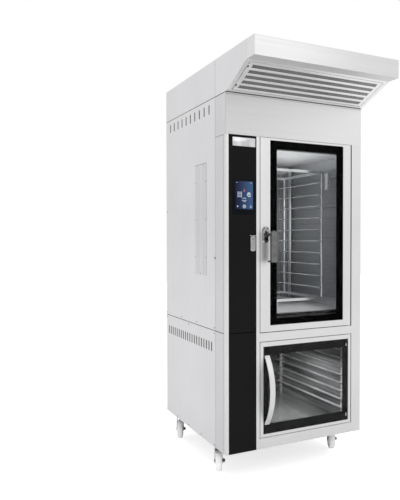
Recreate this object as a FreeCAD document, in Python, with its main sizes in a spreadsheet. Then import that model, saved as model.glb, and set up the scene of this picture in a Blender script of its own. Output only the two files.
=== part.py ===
"""Free-standing rotary oven on a prover base with an extraction hood.

Places are given from the front left lower corner of the cabinet: X to the right, Y to the back,
Z up. The origin of the model is on the floor, in the middle of the whole outline.
"""
import FreeCAD, Part
import Sketcher
import math
import os
import re

SIZES = {
    # Cabinet
    "cab_width": 920,
    "cab_depth": 980,
    "cab_top": 2204,
    "split_level": 670,
    "seam_level": 1995,
    "seam_gap": 4,
    "sheet": 2,
    "deck_height": 12,
    "deck_front": 62,
    "rear_reach": 30,
    "castor_height": 165,
    "tube_size": 40,
    "cut_over": 5,
    # Front frame and flanks
    "frame_depth": 26,
    "post_width": 19,
    "column_right": 190,
    "column_depth": 6,
    "stile_right": 212,
    "pillar_left": 851,
    "mid_rail_low": 610,
    "mid_rail_high": 660,
    "low_rail_high": 60,
    "fascia_low": 1768,
    "lip_depth": 12,
    "lip_height": 4,
    "flank_depth": 140,
    "line_gap": 2,
    # Side vents and the perforated strip
    "vent_width": 10,
    "vent_height": 53,
    "upper_vent_low": 1913,
    "upper_vent_first": 227,
    "upper_vent_pitch": 74,
    "upper_vent_count": 10,
    "lower_vent_low": 546,
    "lower_vent_first": 195,
    "lower_vent_pitch": 38.5,
    "lower_vent_count": 20,
    "strip_front": 269,
    "strip_width": 177,
    "strip_low": 979,
    "strip_height": 661,
    "strip_hole": 4.5,
    "strip_hole_pitch": 20.6,
    "strip_hole_count": 32,
    "strip_hole_inset": 40,
    # Control column
    "screen_left": 42,
    "screen_right": 186,
    "screen_low": 1329,
    "screen_high": 1525,
    "screen_depth": 22,
    "screen_proud": 1,
    "plate_left": 42,
    "plate_right": 183,
    "plate_low": 1706,
    "plate_high": 1754,
    "plate_proud": 1.5,
    "flap_left": 152,
    "flap_right": 184,
    "flap_low": 1125,
    "flap_axis": 1212,
    "flap_axis_out": 3,
    "flap_thick": 4,
    "flap_barrel": 2.5,
    "flap_pin": 1.2,
    "flap_ear": 3,
    "running_fit": 0.05,
    "clear_gap": 0.3,
    # Control electronics on an upright plate
    "tray_side": 100,
    "tray_front": 100,
    "tray_back": 500,
    "tray_high": 1500,
    "switch_width": 45,
    "switch_height": 80,
    "switch_deep": 70,
    "switch_low": 800,
    "switch_pitch": 60,
    "board_low": 1100,
    "board_high": 1320,
    "board_thick": 10,
    # Oven cavity
    "cavity_left": 190,
    "cavity_right": 865,
    "cavity_front": 62,
    "cavity_back": 870,
    "cavity_low": 760,
    "cavity_high": 1710,
    "mouth_left": 250,
    "mouth_right": 800,
    "wool_left": 150,
    "wool_back": 918,
    "wool_top": 1764,
    "baffle_face": 741,
    "baffle_edge": 25,
    "baffle_hole": 100,
    "baffle_stud": 6,
    "baffle_stud_inset": 40,
    # Circulation fan, heater and motor
    "fan_level": 1235,
    "fan_radius": 165,
    "fan_front": 768,
    "fan_depth": 72,
    "fan_disc": 3,
    "fan_hub": 28,
    "fan_blade": 3,
    "fan_blade_count": 12,
    "fan_blade_root": 95,
    "fan_shaft": 9,
    "fan_shaft_in": 40,
    "shaft_hole": 12,
    "motor_radius": 75,
    "motor_back": 976,
    "motor_plate": 200,
    "motor_plate_thick": 4,
    "coil_radius": 205,
    "coil_tube": 4.5,
    "coil_leg": 7,
    "coil_first": 785,
    "coil_pitch": 22,
    "coil_flange": 60,
    "coil_flange_thick": 3,
    # Turning rack and its drive
    "rack_x": 527.5,
    "rack_y": 401.5,
    "rack_post_x": 216,
    "rack_post_y": 232,
    "rack_post": 8,
    "rack_low": 812,
    "rack_high": 1620,
    "rack_bar": 16,
    "rack_wire": 3.5,
    "rack_wire_reach": 250,
    "rack_wire_first": 886,
    "rack_wire_pitch": 73.5,
    "rack_wire_count": 10,
    "rack_hub": 22,
    "rack_hub_high": 1660,
    "rack_shaft": 12.5,
    "rack_shaft_in": 40,
    "rack_pin": 10,
    "rack_pin_in": 20,
    "bearing_radius": 32,
    "bearing_height": 28,
    "drive_size": 130,
    "drive_height": 80,
    "drive_motor": 55,
    "drive_motor_high": 1980,
    # Oven lamp
    "lamp_front": 270,
    "lamp_back": 310,
    "lamp_low": 1513,
    "lamp_high": 1625,
    "lamp_thick": 7,
    "lamp_rim": 6,
    # Oven door
    "door_left": 215,
    "door_right": 843,
    "door_low": 664,
    "door_high": 1766,
    "door_depth": 48,
    "pane_left": 279,
    "pane_right": 787,
    "pane_low": 700,
    "pane_high": 1754,
    "pane_thick": 5,
    "inner_pane_face": 40,
    "door_axis_x": 831,
    "door_axis_y": 12,
    "hinge_pin": 6,
    "hinge_pin_in": 28,
    "hinge_collar": 9,
    "hinge_block": 40,
    "hinge_block_height": 8,
    "gasket_left": 230,
    "gasket_right": 816,
    "gasket_low": 742,
    "gasket_high": 1728,
    "gasket_width": 14,
    # Oven door handle and latch
    "handle_x": 250,
    "handle_level": 1217,
    "rosette_width": 45,
    "rosette_height": 95,
    "rosette_thick": 8,
    "spindle": 9,
    "lever_face": 44,
    "lever_thick": 18,
    "lever_width": 38,
    "lever_left": 254,
    "lever_top": 1240,
    "lever_low": 1050,
    "hook_reach": 16,
    "hook_height": 12,
    "spindle_end": 8,
    "keep_left": 200,
    "keep_height": 60,
    "keep_depth": 10,
    # Prover
    "prover_left": 206,
    "prover_right": 855,
    "prover_low": 56,
    "prover_high": 612,
    "prover_back": 930,
    "prover_door_left": 215,
    "prover_door_right": 846,
    "prover_door_low": 63,
    "prover_door_high": 607,
    "prover_door_depth": 34,
    "prover_pane_left": 235,
    "prover_pane_right": 827,
    "prover_pane_low": 81,
    "prover_pane_high": 581,
    "prover_pane_thick": 6,
    "prover_axis_x": 837,
    "prover_axis_y": 9,
    "prover_pin": 4,
    "prover_pin_in": 16,
    "bow_left": 242,
    "bow_width": 33,
    "bow_low": 135,
    "bow_high": 530,
    "bow_reach": 70,
    "bow_thick": 5,
    "post_size": 14,
    "prover_post_front": 80,
    "prover_post_back": 850,
    "prover_post_high": 560,
    "runner_first": 136,
    "runner_pitch": 51.7,
    "runner_count": 8,
    "runner_width": 22,
    "runner_thick": 3,
    "runner_over": 12,
    "heat_pad_inset": 120,
    "heat_pad_thick": 8,
    # Hood
    "hood_reach": 342,
    "hood_lip": 257,
    "hood_front_low": 2102,
    "filter_toe": 10,
    "filter_frame_thick": 10,
    "filter_side": 25,
    "filter_end": 16,
    "filter_gap": 0.6,
    "filter_thick": 8,
    "spigot_radius": 75,
    "spigot_wall": 1.5,
    "spigot_height": 46,
    "spigot_y": 700,
    "blower_radius": 118,
    "blower_low": 2092,
    "blower_height": 86,
    "blower_motor": 60,
    "blower_motor_high": 2082,
    # Rear fittings
    "fitting_level": 300,
    "gland_x": 120,
    "gland_radius": 16,
    "gland_bore": 9,
    "inlet_x": 760,
    "inlet_radius": 13.2,
    "drain_x": 460,
    "drain_level": 90,
    "drain_radius": 16,
    # Panel screws
    "screw_head": 4.5,
    "screw_proud": 1.5,
    "screw_edge": 14,
    # Castors
    "castor_side": 62,
    "castor_front": 235,
    "castor_turn": -24,
    "castor_back_inset": 100,
    "castor_plate_x": 85,
    "castor_plate_y": 100,
    "castor_plate_thick": 4,
    "castor_bolt_inset": 12,
    "castor_bolt": 5,
    "castor_bolt_head": 3,
    "king_pin": 6,
    "king_pin_in": 14,
    "head_radius": 32,
    "head_height": 18,
    "fork_gap": 2,
    "fork_wall": 3,
    "fork_trail": 35,
    "fork_half": 20,
    "wheel_radius": 62.5,
    "wheel_width": 38,
    "tread_width": 32,
    "axle": 5,
    "pedal_reach": 34,
    "pedal_pin": 4,
    "pedal_thick": 7,
    "pedal_ear": 26,
    "pedal_level": 24,
}
SLOPE_WORDS = ("sqrt", "atan", "sin", "cos")
UP = FreeCAD.Vector(0, 0, 1)
ACROSS = FreeCAD.Rotation(FreeCAD.Vector(0, 1, 0), 90)
BACKWARD = FreeCAD.Rotation(FreeCAD.Vector(1, 0, 0), -90)
UPRIGHT = FreeCAD.Rotation()

doc = FreeCAD.newDocument("rotary_oven")
sheet = doc.addObject("Spreadsheet::Sheet", "sizes")
for row, (alias, number) in enumerate(SIZES.items(), start=1):
    sheet.set(f"A{row}", alias)
    sheet.set(f"B{row}", str(number))
    sheet.setAlias(f"B{row}", alias)
doc.recompute()
nodes = []

# Places along the three axes that turn cabinet places into model places
MOVE_X = "- cab_width / 2"
MOVE_Y = "+ (hood_reach - cab_depth - rear_reach) / 2"
MOVE_Z = "+ castor_height"


def bound(text):
    """Write a sum of size names as an expression on the sheet."""
    def cell(found):
        word = found.group(0)
        return word if word in SLOPE_WORDS else "sizes." + word
    return re.sub(r"[a-z][a-z_0-9]*", cell, str(text))


def size(alias):
    """Read one size from the sheet."""
    return float(sheet.get(alias))


def bind(item, **sums):
    """Tie properties of an object to sums of size names."""
    for name, text in sums.items():
        item.setExpression(name, bound(text))


def place(item, x, y, z, turn=UPRIGHT):
    """Put an object at a cabinet place, turned as given."""
    item.Placement = FreeCAD.Placement(FreeCAD.Vector(), turn)
    item.setExpression("Placement.Base.x", bound(f"{x} {MOVE_X}"))
    item.setExpression("Placement.Base.y", bound(f"{y} {MOVE_Y}"))
    item.setExpression("Placement.Base.z", bound(f"{z} {MOVE_Z}"))
    return item


def block(x, y, z):
    """Make a box from (low, high) pairs."""
    item = doc.addObject("Part::Box", "block")
    bind(item, Length=f"({x[1]}) - ({x[0]})", Width=f"({y[1]}) - ({y[0]})", Height=f"({z[1]}) - ({z[0]})")
    return place(item, x[0], y[0], z[0])


def rod(radius, length, x, y, z, turn=UPRIGHT):
    """Make a cylinder that starts at a place and runs along its turned axis."""
    item = doc.addObject("Part::Cylinder", "rod")
    bind(item, Radius=radius, Height=length)
    return place(item, x, y, z, turn)


def group(*items):
    """Keep several solids side by side."""
    item = doc.addObject("Part::Compound", "group")
    item.Links = list(items)
    return item


def fuse(*items):
    """Join solids into one."""
    item = doc.addObject("Part::MultiFuse", "joined")
    item.Shapes = list(items)
    return item


def cut(base, *tools):
    """Take tools out of a solid."""
    item = doc.addObject("Part::Cut", "cut")
    item.Base = base
    item.Tool = tools[0] if len(tools) == 1 else group(*tools)
    return item


def common(base, tool):
    """Keep what two solids share."""
    item = doc.addObject("Part::Common", "shared")
    item.Base = base
    item.Tool = tool
    return item


def node(name, item):
    """Name a finished sub-part."""
    item.Label = name
    nodes.append(item)
    return item


def feature(name, shape):
    """Keep a shape that was drawn from sheet sizes, at its cabinet place."""
    item = doc.addObject("Part::Feature", name)
    item.Shape = shape
    return place(item, "0", "0", "0")


def ring(x, z, inside_x, inside_z, y):
    """Make a flat ring of two uprights and two bars between them."""
    return [
        block((x[0], inside_x[0]), y, z),
        block((inside_x[1], x[1]), y, z),
        block((inside_x[0], inside_x[1]), y, (z[0], inside_z[0])),
        block((inside_x[0], inside_x[1]), y, (inside_z[1], z[1])),
    ]


def both_sides(y, z):
    """Make a left and a right sheet of the cabinet's side."""
    return [block(("0", "sheet"), y, z), block(("cab_width - sheet", "cab_width"), y, z)]


def plane_of(body, role):
    """Find one of a body's own planes or axes."""
    return [thing for thing in body.Origin.OriginFeatures if thing.Role == role][0]


def side_sketch(body, name):
    """Start a sketch on a body's side plane, with its X along Y and its Y up."""
    sketch = body.newObject("Sketcher::SketchObject", name)
    sketch.AttachmentSupport = [(plane_of(body, "YZ_Plane"), "")]
    sketch.MapMode = "FlatFace"
    return sketch


def held(sketch, name, constraint, text):
    """Add a named constraint that follows a sum of size names."""
    number = sketch.addConstraint(constraint)
    sketch.renameConstraint(number, name)
    sketch.setExpression("Constraints." + name, bound(text))


def through(body, sketch):
    """Cut a sketch right through a sheet that stands in front of its plane."""
    pocket = body.newObject("PartDesign::Pocket", sketch.Name + "_cut")
    pocket.Profile = sketch
    pocket.Type = "ThroughAll"
    pocket.Reversed = True
    return pocket


def vented_side(name, x, z, vent):
    """Make one side panel with a row of round-ended slots, as a body."""
    body = doc.addObject("PartDesign::Body", name)
    place(body, x, "flank_depth", z[0])
    panel = body.newObject("PartDesign::AdditiveBox", name + "_panel")
    bind(panel, Length="sheet", Width="cab_depth - flank_depth", Height=f"({z[1]}) - ({z[0]})")
    doc.recompute()
    sketch = side_sketch(body, name + "_slot")
    half = size("vent_width") / 2
    middle = size(f"{vent}_vent_first") - size("flank_depth")
    foot = size(f"{vent}_vent_low") - body.Placement.Base.z + size("castor_height")
    low = FreeCAD.Vector(middle, foot + half, 0)
    high = FreeCAD.Vector(middle, foot + size("vent_height") - half, 0)
    aside = FreeCAD.Vector(half, 0, 0)
    sketch.addGeometry(Part.ArcOfCircle(Part.Circle(high, UP, half), 0, math.pi))
    sketch.addGeometry(Part.LineSegment(high - aside, low - aside))
    sketch.addGeometry(Part.ArcOfCircle(Part.Circle(low, UP, half), math.pi, 2 * math.pi))
    sketch.addGeometry(Part.LineSegment(low + aside, high + aside))
    for edge in range(4):
        sketch.addConstraint(Sketcher.Constraint("Tangent", edge, 2, (edge + 1) % 4, 1))
    sketch.addConstraint(Sketcher.Constraint("Vertical", 1))
    held(sketch, "round", Sketcher.Constraint("Radius", 0, half), "vent_width / 2")
    held(sketch, "along", Sketcher.Constraint("DistanceX", -1, 1, 2, 3, middle),
         f"{vent}_vent_first - flank_depth")
    held(sketch, "height", Sketcher.Constraint("DistanceY", -1, 1, 2, 3, low.y),
         f"{vent}_vent_low + vent_width / 2 - ({z[0]})")
    held(sketch, "tall", Sketcher.Constraint("DistanceY", 2, 3, 0, 3, high.y - low.y),
         "vent_height - vent_width")
    pocket = through(body, sketch)
    repeat(body, [pocket], "Y_Axis", f"{vent}_vent_pitch * ({vent}_vent_count - 1)", f"{vent}_vent_count")
    return body


def repeat(body, parts, axis, length, count):
    """Repeat features of a body in a row and make the row its tip."""
    doc.recompute()
    row_of = body.newObject("PartDesign::LinearPattern", body.Name + "_row")
    row_of.Originals = parts
    row_of.Direction = (plane_of(body, axis), [""])
    bind(row_of, Length=length, Occurrences=count)
    body.Tip = row_of
    doc.recompute()


def base_module():
    """Make the wheeled base: frame, panels and the two decks."""
    far = "cab_width - sheet"
    behind = ("frame_depth", "cab_depth - sheet")
    between = ("sheet + tube_size", f"{far} - tube_size")
    tubes = [
        block(("sheet", "sheet + tube_size"), behind, ("0", "tube_size")),
        block((f"{far} - tube_size", far), behind, ("0", "tube_size")),
        block(between, ("frame_depth", "frame_depth + tube_size"), ("0", "tube_size")),
        block(between, ("cab_depth - sheet - tube_size", "cab_depth - sheet"), ("0", "tube_size")),
    ]
    node("base_frame", group(*tubes))
    tall = ("0", "split_level - seam_gap / 2")
    node("base_side_panels", group(
        vented_side("base_left", "0", tall, "lower"), vented_side("base_right", far, tall, "lower")))
    decks = [
        block(("sheet", far), ("deck_front", "cab_depth - sheet"),
              ("split_level - deck_height / 2", "split_level + deck_height / 2")),
        block(("sheet", far), ("sheet", "cab_depth - sheet"),
              ("seam_level - seam_gap", "seam_level + seam_gap")),
    ]
    node("module_decks", group(*decks))
    back = ("cab_depth - sheet", "cab_depth")
    node("back_panels", group(
        block(("sheet", far), back, tall),
        block(("sheet", far), back, ("split_level + seam_gap / 2", "seam_level - seam_gap / 2"))))


def front_and_sides():
    """Make the front frame, the fascia, the flanks and the oven's side panels."""
    up = ("0", "fascia_low")
    deep = ("0", "frame_depth")
    rails = ("stile_right", "pillar_left")
    node("front_frame", group(
        block(("0", "post_width"), deep, up),
        block(("column_right", "stile_right"), deep, up),
        block(("pillar_left", "cab_width"), deep, up),
        block(rails, deep, ("mid_rail_low", "mid_rail_high")),
        block(rails, deep, ("0", "low_rail_high"))))
    node("fascia", fuse(
        block(("0", "cab_width"), ("0", "sheet"), ("fascia_low", "seam_level")),
        block(("0", "cab_width"), ("-lip_depth", "0"),
              ("seam_level - 2 * lip_height", "seam_level - lip_height"))))
    flank = ("frame_depth + line_gap", "flank_depth - line_gap")
    node("flank_panels", group(
        *both_sides(flank, ("0", "split_level - seam_gap / 2")),
        *both_sides(flank, ("split_level + seam_gap / 2", "fascia_low - line_gap")),
        *both_sides(("sheet", "flank_depth - line_gap"), ("fascia_low", "seam_level - seam_gap / 2"))))
    tall = ("split_level + seam_gap / 2", "seam_level - seam_gap / 2")
    node("oven_side_panels", group(
        vented_side("oven_left", "0", tall, "upper"), vented_side("oven_right", "cab_width - sheet", tall,
                                                                  "upper")))


def vent_strip():
    """Make the perforated strip on the left side."""
    body = doc.addObject("PartDesign::Body", "strip")
    place(body, "-screw_proud", "strip_front", "strip_low")
    plate = body.newObject("PartDesign::AdditiveBox", "strip_plate")
    bind(plate, Length="screw_proud", Width="strip_width", Height="strip_height")
    doc.recompute()
    sketch = side_sketch(body, "strip_holes")
    foot = "(strip_height - strip_hole_pitch * (strip_hole_count - 1)) / 2"
    insets = ("strip_hole_inset", "strip_width - strip_hole_inset")
    for number, inset in enumerate(insets):
        sketch.addGeometry(Part.Circle(FreeCAD.Vector(number * size("strip_width"), 0, 0), UP,
                                       size("strip_hole")))
        held(sketch, f"round{number}", Sketcher.Constraint("Radius", number, size("strip_hole")),
             "strip_hole")
        held(sketch, f"along{number}",
             Sketcher.Constraint("DistanceX", -1, 1, number, 3, size("strip_width")), inset)
        held(sketch, f"height{number}",
             Sketcher.Constraint("DistanceY", -1, 1, number, 3, size("strip_hole")), foot)
    pocket = through(body, sketch)
    repeat(body, [pocket], "Z_Axis", "strip_hole_pitch * (strip_hole_count - 1)", "strip_hole_count")
    node("side_vent_grille", body)


def control_column():
    """Make the black column with its screen, plate, flap and electronics."""
    wide = ("post_width", "column_right")
    deep = ("0", "column_depth")
    screen = (("screen_left", "screen_right"), ("screen_low", "screen_high"))
    glass = block(wide, deep, ("split_level + seam_gap / 2", "fascia_low - line_gap"))
    window = block(screen[0], ("-cut_over", "column_depth + cut_over"), screen[1])
    node("control_glass", cut(glass, window))
    node("lower_column_panel", block(wide, deep, ("0", "split_level - seam_gap / 2")))
    node("display_unit", block(screen[0], ("-screen_proud", "screen_depth"), screen[1]))
    node("name_plate",
         block(("plate_left", "plate_right"), ("-plate_proud", "0"), ("plate_low", "plate_high")))
    axis = ("-flap_axis_out", "flap_axis")
    barrel = rod("flap_barrel", "flap_right - flap_left", "flap_left", *axis, ACROSS)
    leaf = block(("flap_left", "flap_right"),
                 ("-flap_axis_out - flap_thick / 2", "-flap_axis_out + flap_thick / 2"),
                 ("flap_low", "flap_axis"))
    bore = rod("flap_pin + running_fit", "flap_right - flap_left", "flap_left", *axis, ACROSS)
    node("service_flap", cut(fuse(barrel, leaf), bore))
    shelf = "split_level + deck_height / 2"
    tray = [block(("tray_side", "tray_side + sheet"), ("tray_front", "tray_back"), (shelf, "tray_high"))]
    for number in range(4):
        start = f"tray_front + switch_pitch * {number} + switch_pitch"
        tray.append(block(("tray_side - switch_deep", "tray_side"), (start, f"{start} + switch_width"),
                          ("switch_low", "switch_low + switch_height")))
    tray.append(block(("tray_side - board_thick", "tray_side"),
                      ("tray_front + switch_pitch", "tray_back - switch_pitch"), ("board_low", "board_high")))
    node("control_electronics", group(*tray))


def oven_cavity():
    """Make the lined and insulated cavity with its baffle and lamp."""
    across = ("cavity_left", "cavity_right")
    deep = ("cavity_front", "cavity_back + sheet")
    tall = ("cavity_low", "cavity_high")
    ceiling = block(across, deep, ("cavity_high", "cavity_high + sheet"))
    shaft_way = rod("shaft_hole + sheet", "wool_top - cavity_high + 2 * cut_over", "rack_x", "rack_y",
                    "cavity_high - cut_over")
    back = block(across, ("cavity_back", "cavity_back + sheet"), tall)
    motor_way = rod("shaft_hole", "wool_back - cavity_back + 2 * cut_over", "rack_x",
                    "cavity_back - cut_over",
                    "fan_level", BACKWARD)
    flange = ring(("wool_left", "cab_width - sheet"), ("split_level - deck_height / 2", "wool_top"),
                  ("mouth_left", "mouth_right"), tall, ("cavity_front - sheet", "cavity_front"))
    node("cavity_liner", group(
        block(across, deep, ("cavity_low - sheet", "cavity_low")),
        cut(ceiling, shaft_way),
        block(("cavity_left - sheet", "cavity_left"), deep, ("cavity_low - sheet", "cavity_high + sheet")),
        block(("cavity_right", "cavity_right + sheet"), deep, ("cavity_low - sheet", "cavity_high + sheet")),
        cut(back, motor_way), *flange))
    wool_x = ("wool_left", "cab_width - sheet")
    wool_y = ("cavity_front", "wool_back")
    sides_z = ("cavity_low - sheet", "cavity_high + sheet")
    studs = [rod("baffle_stud", "wool_back - cavity_back - sheet", x, "cavity_back + sheet", z, BACKWARD)
             for x, z in motor_studs()]
    node("insulation", group(
        block(wool_x, wool_y, ("split_level + deck_height / 2", "cavity_low - sheet")),
        cut(block(wool_x, wool_y, ("cavity_high + sheet", "wool_top")), shaft_way),
        block(("wool_left", "cavity_left - sheet"), wool_y, sides_z),
        block(("cavity_right + sheet", "cab_width - sheet"), wool_y, sides_z),
        cut(block(("cavity_left - sheet", "cavity_right + sheet"), ("cavity_back + sheet", "wool_back"),
                  sides_z),
            motor_way, *studs)))
    plate = block(("cavity_left + baffle_edge", "cavity_right - baffle_edge"),
                  ("baffle_face", "baffle_face + sheet"), tall)
    intake = rod("baffle_hole", "sheet + 2 * cut_over", "rack_x", "baffle_face - cut_over", "fan_level",
                 BACKWARD)
    feet = []
    for x in ("cavity_left + baffle_edge + baffle_stud_inset",
              "cavity_right - baffle_edge - baffle_stud_inset"):
        for z in ("cavity_low + baffle_stud_inset", "cavity_high - baffle_stud_inset"):
            feet.append(rod("baffle_stud", "cavity_back - baffle_face - sheet", x, "baffle_face + sheet", z,
                            BACKWARD))
    node("fan_baffle", fuse(cut(plate, intake), *feet))
    lamp_x = ("cavity_right - lamp_thick", "cavity_right")
    lamp_y = ("lamp_front", "lamp_back")
    lamp_z = ("lamp_low", "lamp_high")
    lens = block(lamp_x, ("lamp_front + lamp_rim", "lamp_back - lamp_rim"),
                 ("lamp_low + lamp_rim", "lamp_high - lamp_rim"))
    hollow = block(("cavity_right - lamp_thick - cut_over", "cavity_right + cut_over"),
                   ("lamp_front + lamp_rim", "lamp_back - lamp_rim"), ("lamp_low + lamp_rim",
                                                                       "lamp_high - lamp_rim"))
    node("oven_lamp", group(cut(block(lamp_x, lamp_y, lamp_z), hollow), lens))


def motor_studs():
    """Give the four stud places of the fan motor's plate."""
    reach = "motor_plate / 2 - baffle_stud * 2"
    return [(f"rack_x {a} ({reach})", f"fan_level {b} ({reach})") for a in "+-" for b in "+-"]


def circulation():
    """Make the fan, its motor and the ring heaters."""
    hub = rod("fan_hub", "fan_depth", "rack_x", "fan_front", "fan_level", BACKWARD)
    disc = rod("fan_radius", "fan_disc", "rack_x", "fan_front + fan_depth - fan_disc", "fan_level", BACKWARD)
    shaft = rod("fan_shaft", "wool_back + motor_plate_thick + fan_shaft_in - fan_front", "rack_x",
                "fan_front",
                "fan_level", BACKWARD)
    blades = []
    for number in range(int(size("fan_blade_count"))):
        blade = doc.addObject("Part::Box", "blade")
        bind(blade, Length="fan_radius - fan_blade_root", Width="fan_depth", Height="fan_blade")
        spin = FreeCAD.Rotation(FreeCAD.Vector(0, 1, 0), 360.0 * number / size("fan_blade_count"))
        way = spin.multVec(FreeCAD.Vector(size("fan_blade_root"), 0, 0))
        shift = f"fan_blade_root * {way.x / size('fan_blade_root'):.9f}"
        lift = f"fan_blade_root * {way.z / size('fan_blade_root'):.9f}"
        place(blade, f"rack_x + ({shift})", "fan_front", f"fan_level + ({lift})", spin)
        blades.append(blade)
    node("convection_fan", fuse(hub, disc, shaft, *blades))
    half = "motor_plate / 2"
    plate = block((f"rack_x - {half}", f"rack_x + {half}"), ("wool_back", "wool_back + motor_plate_thick"),
                  (f"fan_level - {half}", f"fan_level + {half}"))
    can = rod("motor_radius", "motor_back - wool_back - motor_plate_thick", "rack_x",
              "wool_back + motor_plate_thick",
              "fan_level", BACKWARD)
    studs = [rod("baffle_stud", "wool_back - cavity_back - sheet", x, "cavity_back + sheet", z, BACKWARD)
             for x, z in motor_studs()]
    bore = rod("fan_shaft + running_fit", "motor_plate_thick + fan_shaft_in + clear_gap", "rack_x",
               "wool_back",
               "fan_level", BACKWARD)
    node("fan_motor", cut(fuse(plate, can, *studs), bore))
    coils = []
    for number in range(3):
        where = f"coil_first + coil_pitch * {number}"
        coil = doc.addObject("Part::Torus", "coil")
        bind(coil, Radius1="coil_radius", Radius2="coil_tube")
        coils.append(place(coil, "rack_x", where, "fan_level", BACKWARD))
    foot = "fan_level - coil_radius"
    leg = rod("coil_leg", "cavity_back - coil_first + coil_leg", "rack_x", "coil_first - coil_leg", foot,
              BACKWARD)
    flange = block(("rack_x - coil_flange / 2", "rack_x + coil_flange / 2"),
                   ("cavity_back - coil_flange_thick", "cavity_back"),
                   (f"{foot} - coil_flange / 2", f"{foot} + coil_flange / 2"))
    node("heating_element", fuse(*coils, leg, flange))


def rack():
    """Make the turning rack, its wires, its drive and its floor bearing."""
    posts = []
    bars = []
    sides = ("-", "+")
    for a in sides:
        for b in sides:
            posts.append(rod("rack_post", "rack_high - rack_low", f"rack_x {a} rack_post_x",
                             f"rack_y {b} rack_post_y",
                             "rack_low"))
    levels = (("rack_low", "rack_low + rack_bar"), ("rack_high - rack_bar", "rack_high"))
    half = "rack_bar / 2"
    for low, high in levels:
        for a in sides:
            bars.append(block(("rack_x - rack_post_x", "rack_x + rack_post_x"),
                              (f"rack_y {a} rack_post_y - {half}", f"rack_y {a} rack_post_y + {half}"), (low,
                                                                                                         high)))
            bars.append(block((f"rack_x {a} rack_post_x - {half}", f"rack_x {a} rack_post_x + {half}"),
                              ("rack_y - rack_post_y", "rack_y + rack_post_y"), (low, high)))
        bars.append(block((f"rack_x - {half}", f"rack_x + {half}"),
                          ("rack_y - rack_post_y", "rack_y + rack_post_y"), (low, high)))
    hub = rod("rack_hub", "rack_hub_high - rack_high + rack_bar", "rack_x", "rack_y", "rack_high - rack_bar")
    shaft = rod("rack_shaft", "wool_top + rack_shaft_in - rack_hub_high", "rack_x", "rack_y", "rack_hub_high")
    boss = rod("rack_hub", "rack_low + rack_bar - cavity_low - bearing_height - clear_gap", "rack_x",
               "rack_y",
               "cavity_low + bearing_height + clear_gap")
    pin = rod("rack_pin", "rack_low - cavity_low - bearing_height + rack_pin_in", "rack_x", "rack_y",
              "cavity_low + bearing_height - rack_pin_in")
    node("rack_frame", fuse(*posts, *bars, hub, shaft, boss, pin))
    wires = []
    inside = "rack_post_x - rack_post - rack_wire"
    for number in range(int(size("rack_wire_count"))):
        level = f"rack_wire_first + rack_wire_pitch * {number}"
        for a in sides:
            wires.append(rod("rack_wire", "2 * rack_wire_reach", f"rack_x {a} ({inside})",
                             "rack_y - rack_wire_reach",
                             level, BACKWARD))
    node("rack_wires", group(*wires))
    cup = rod("bearing_radius", "bearing_height", "rack_x", "rack_y", "cavity_low")
    socket = rod("rack_pin + running_fit", "rack_pin_in + cut_over", "rack_x", "rack_y",
                 "cavity_low + bearing_height - rack_pin_in")
    node("floor_bearing", cut(cup, socket))
    near = "drive_size / 2"
    box = block((f"rack_x - {near}", f"rack_x + {near}"), (f"rack_y - {near}", f"rack_y + {near}"),
                ("wool_top", "wool_top + drive_height"))
    motor = rod("drive_motor", "drive_motor_high - wool_top - drive_height", "rack_x", "rack_y",
                "wool_top + drive_height")
    bore = rod("rack_shaft + running_fit", "rack_shaft_in + clear_gap", "rack_x", "rack_y", "wool_top")
    node("rack_drive", cut(fuse(box, motor), bore))


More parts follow.
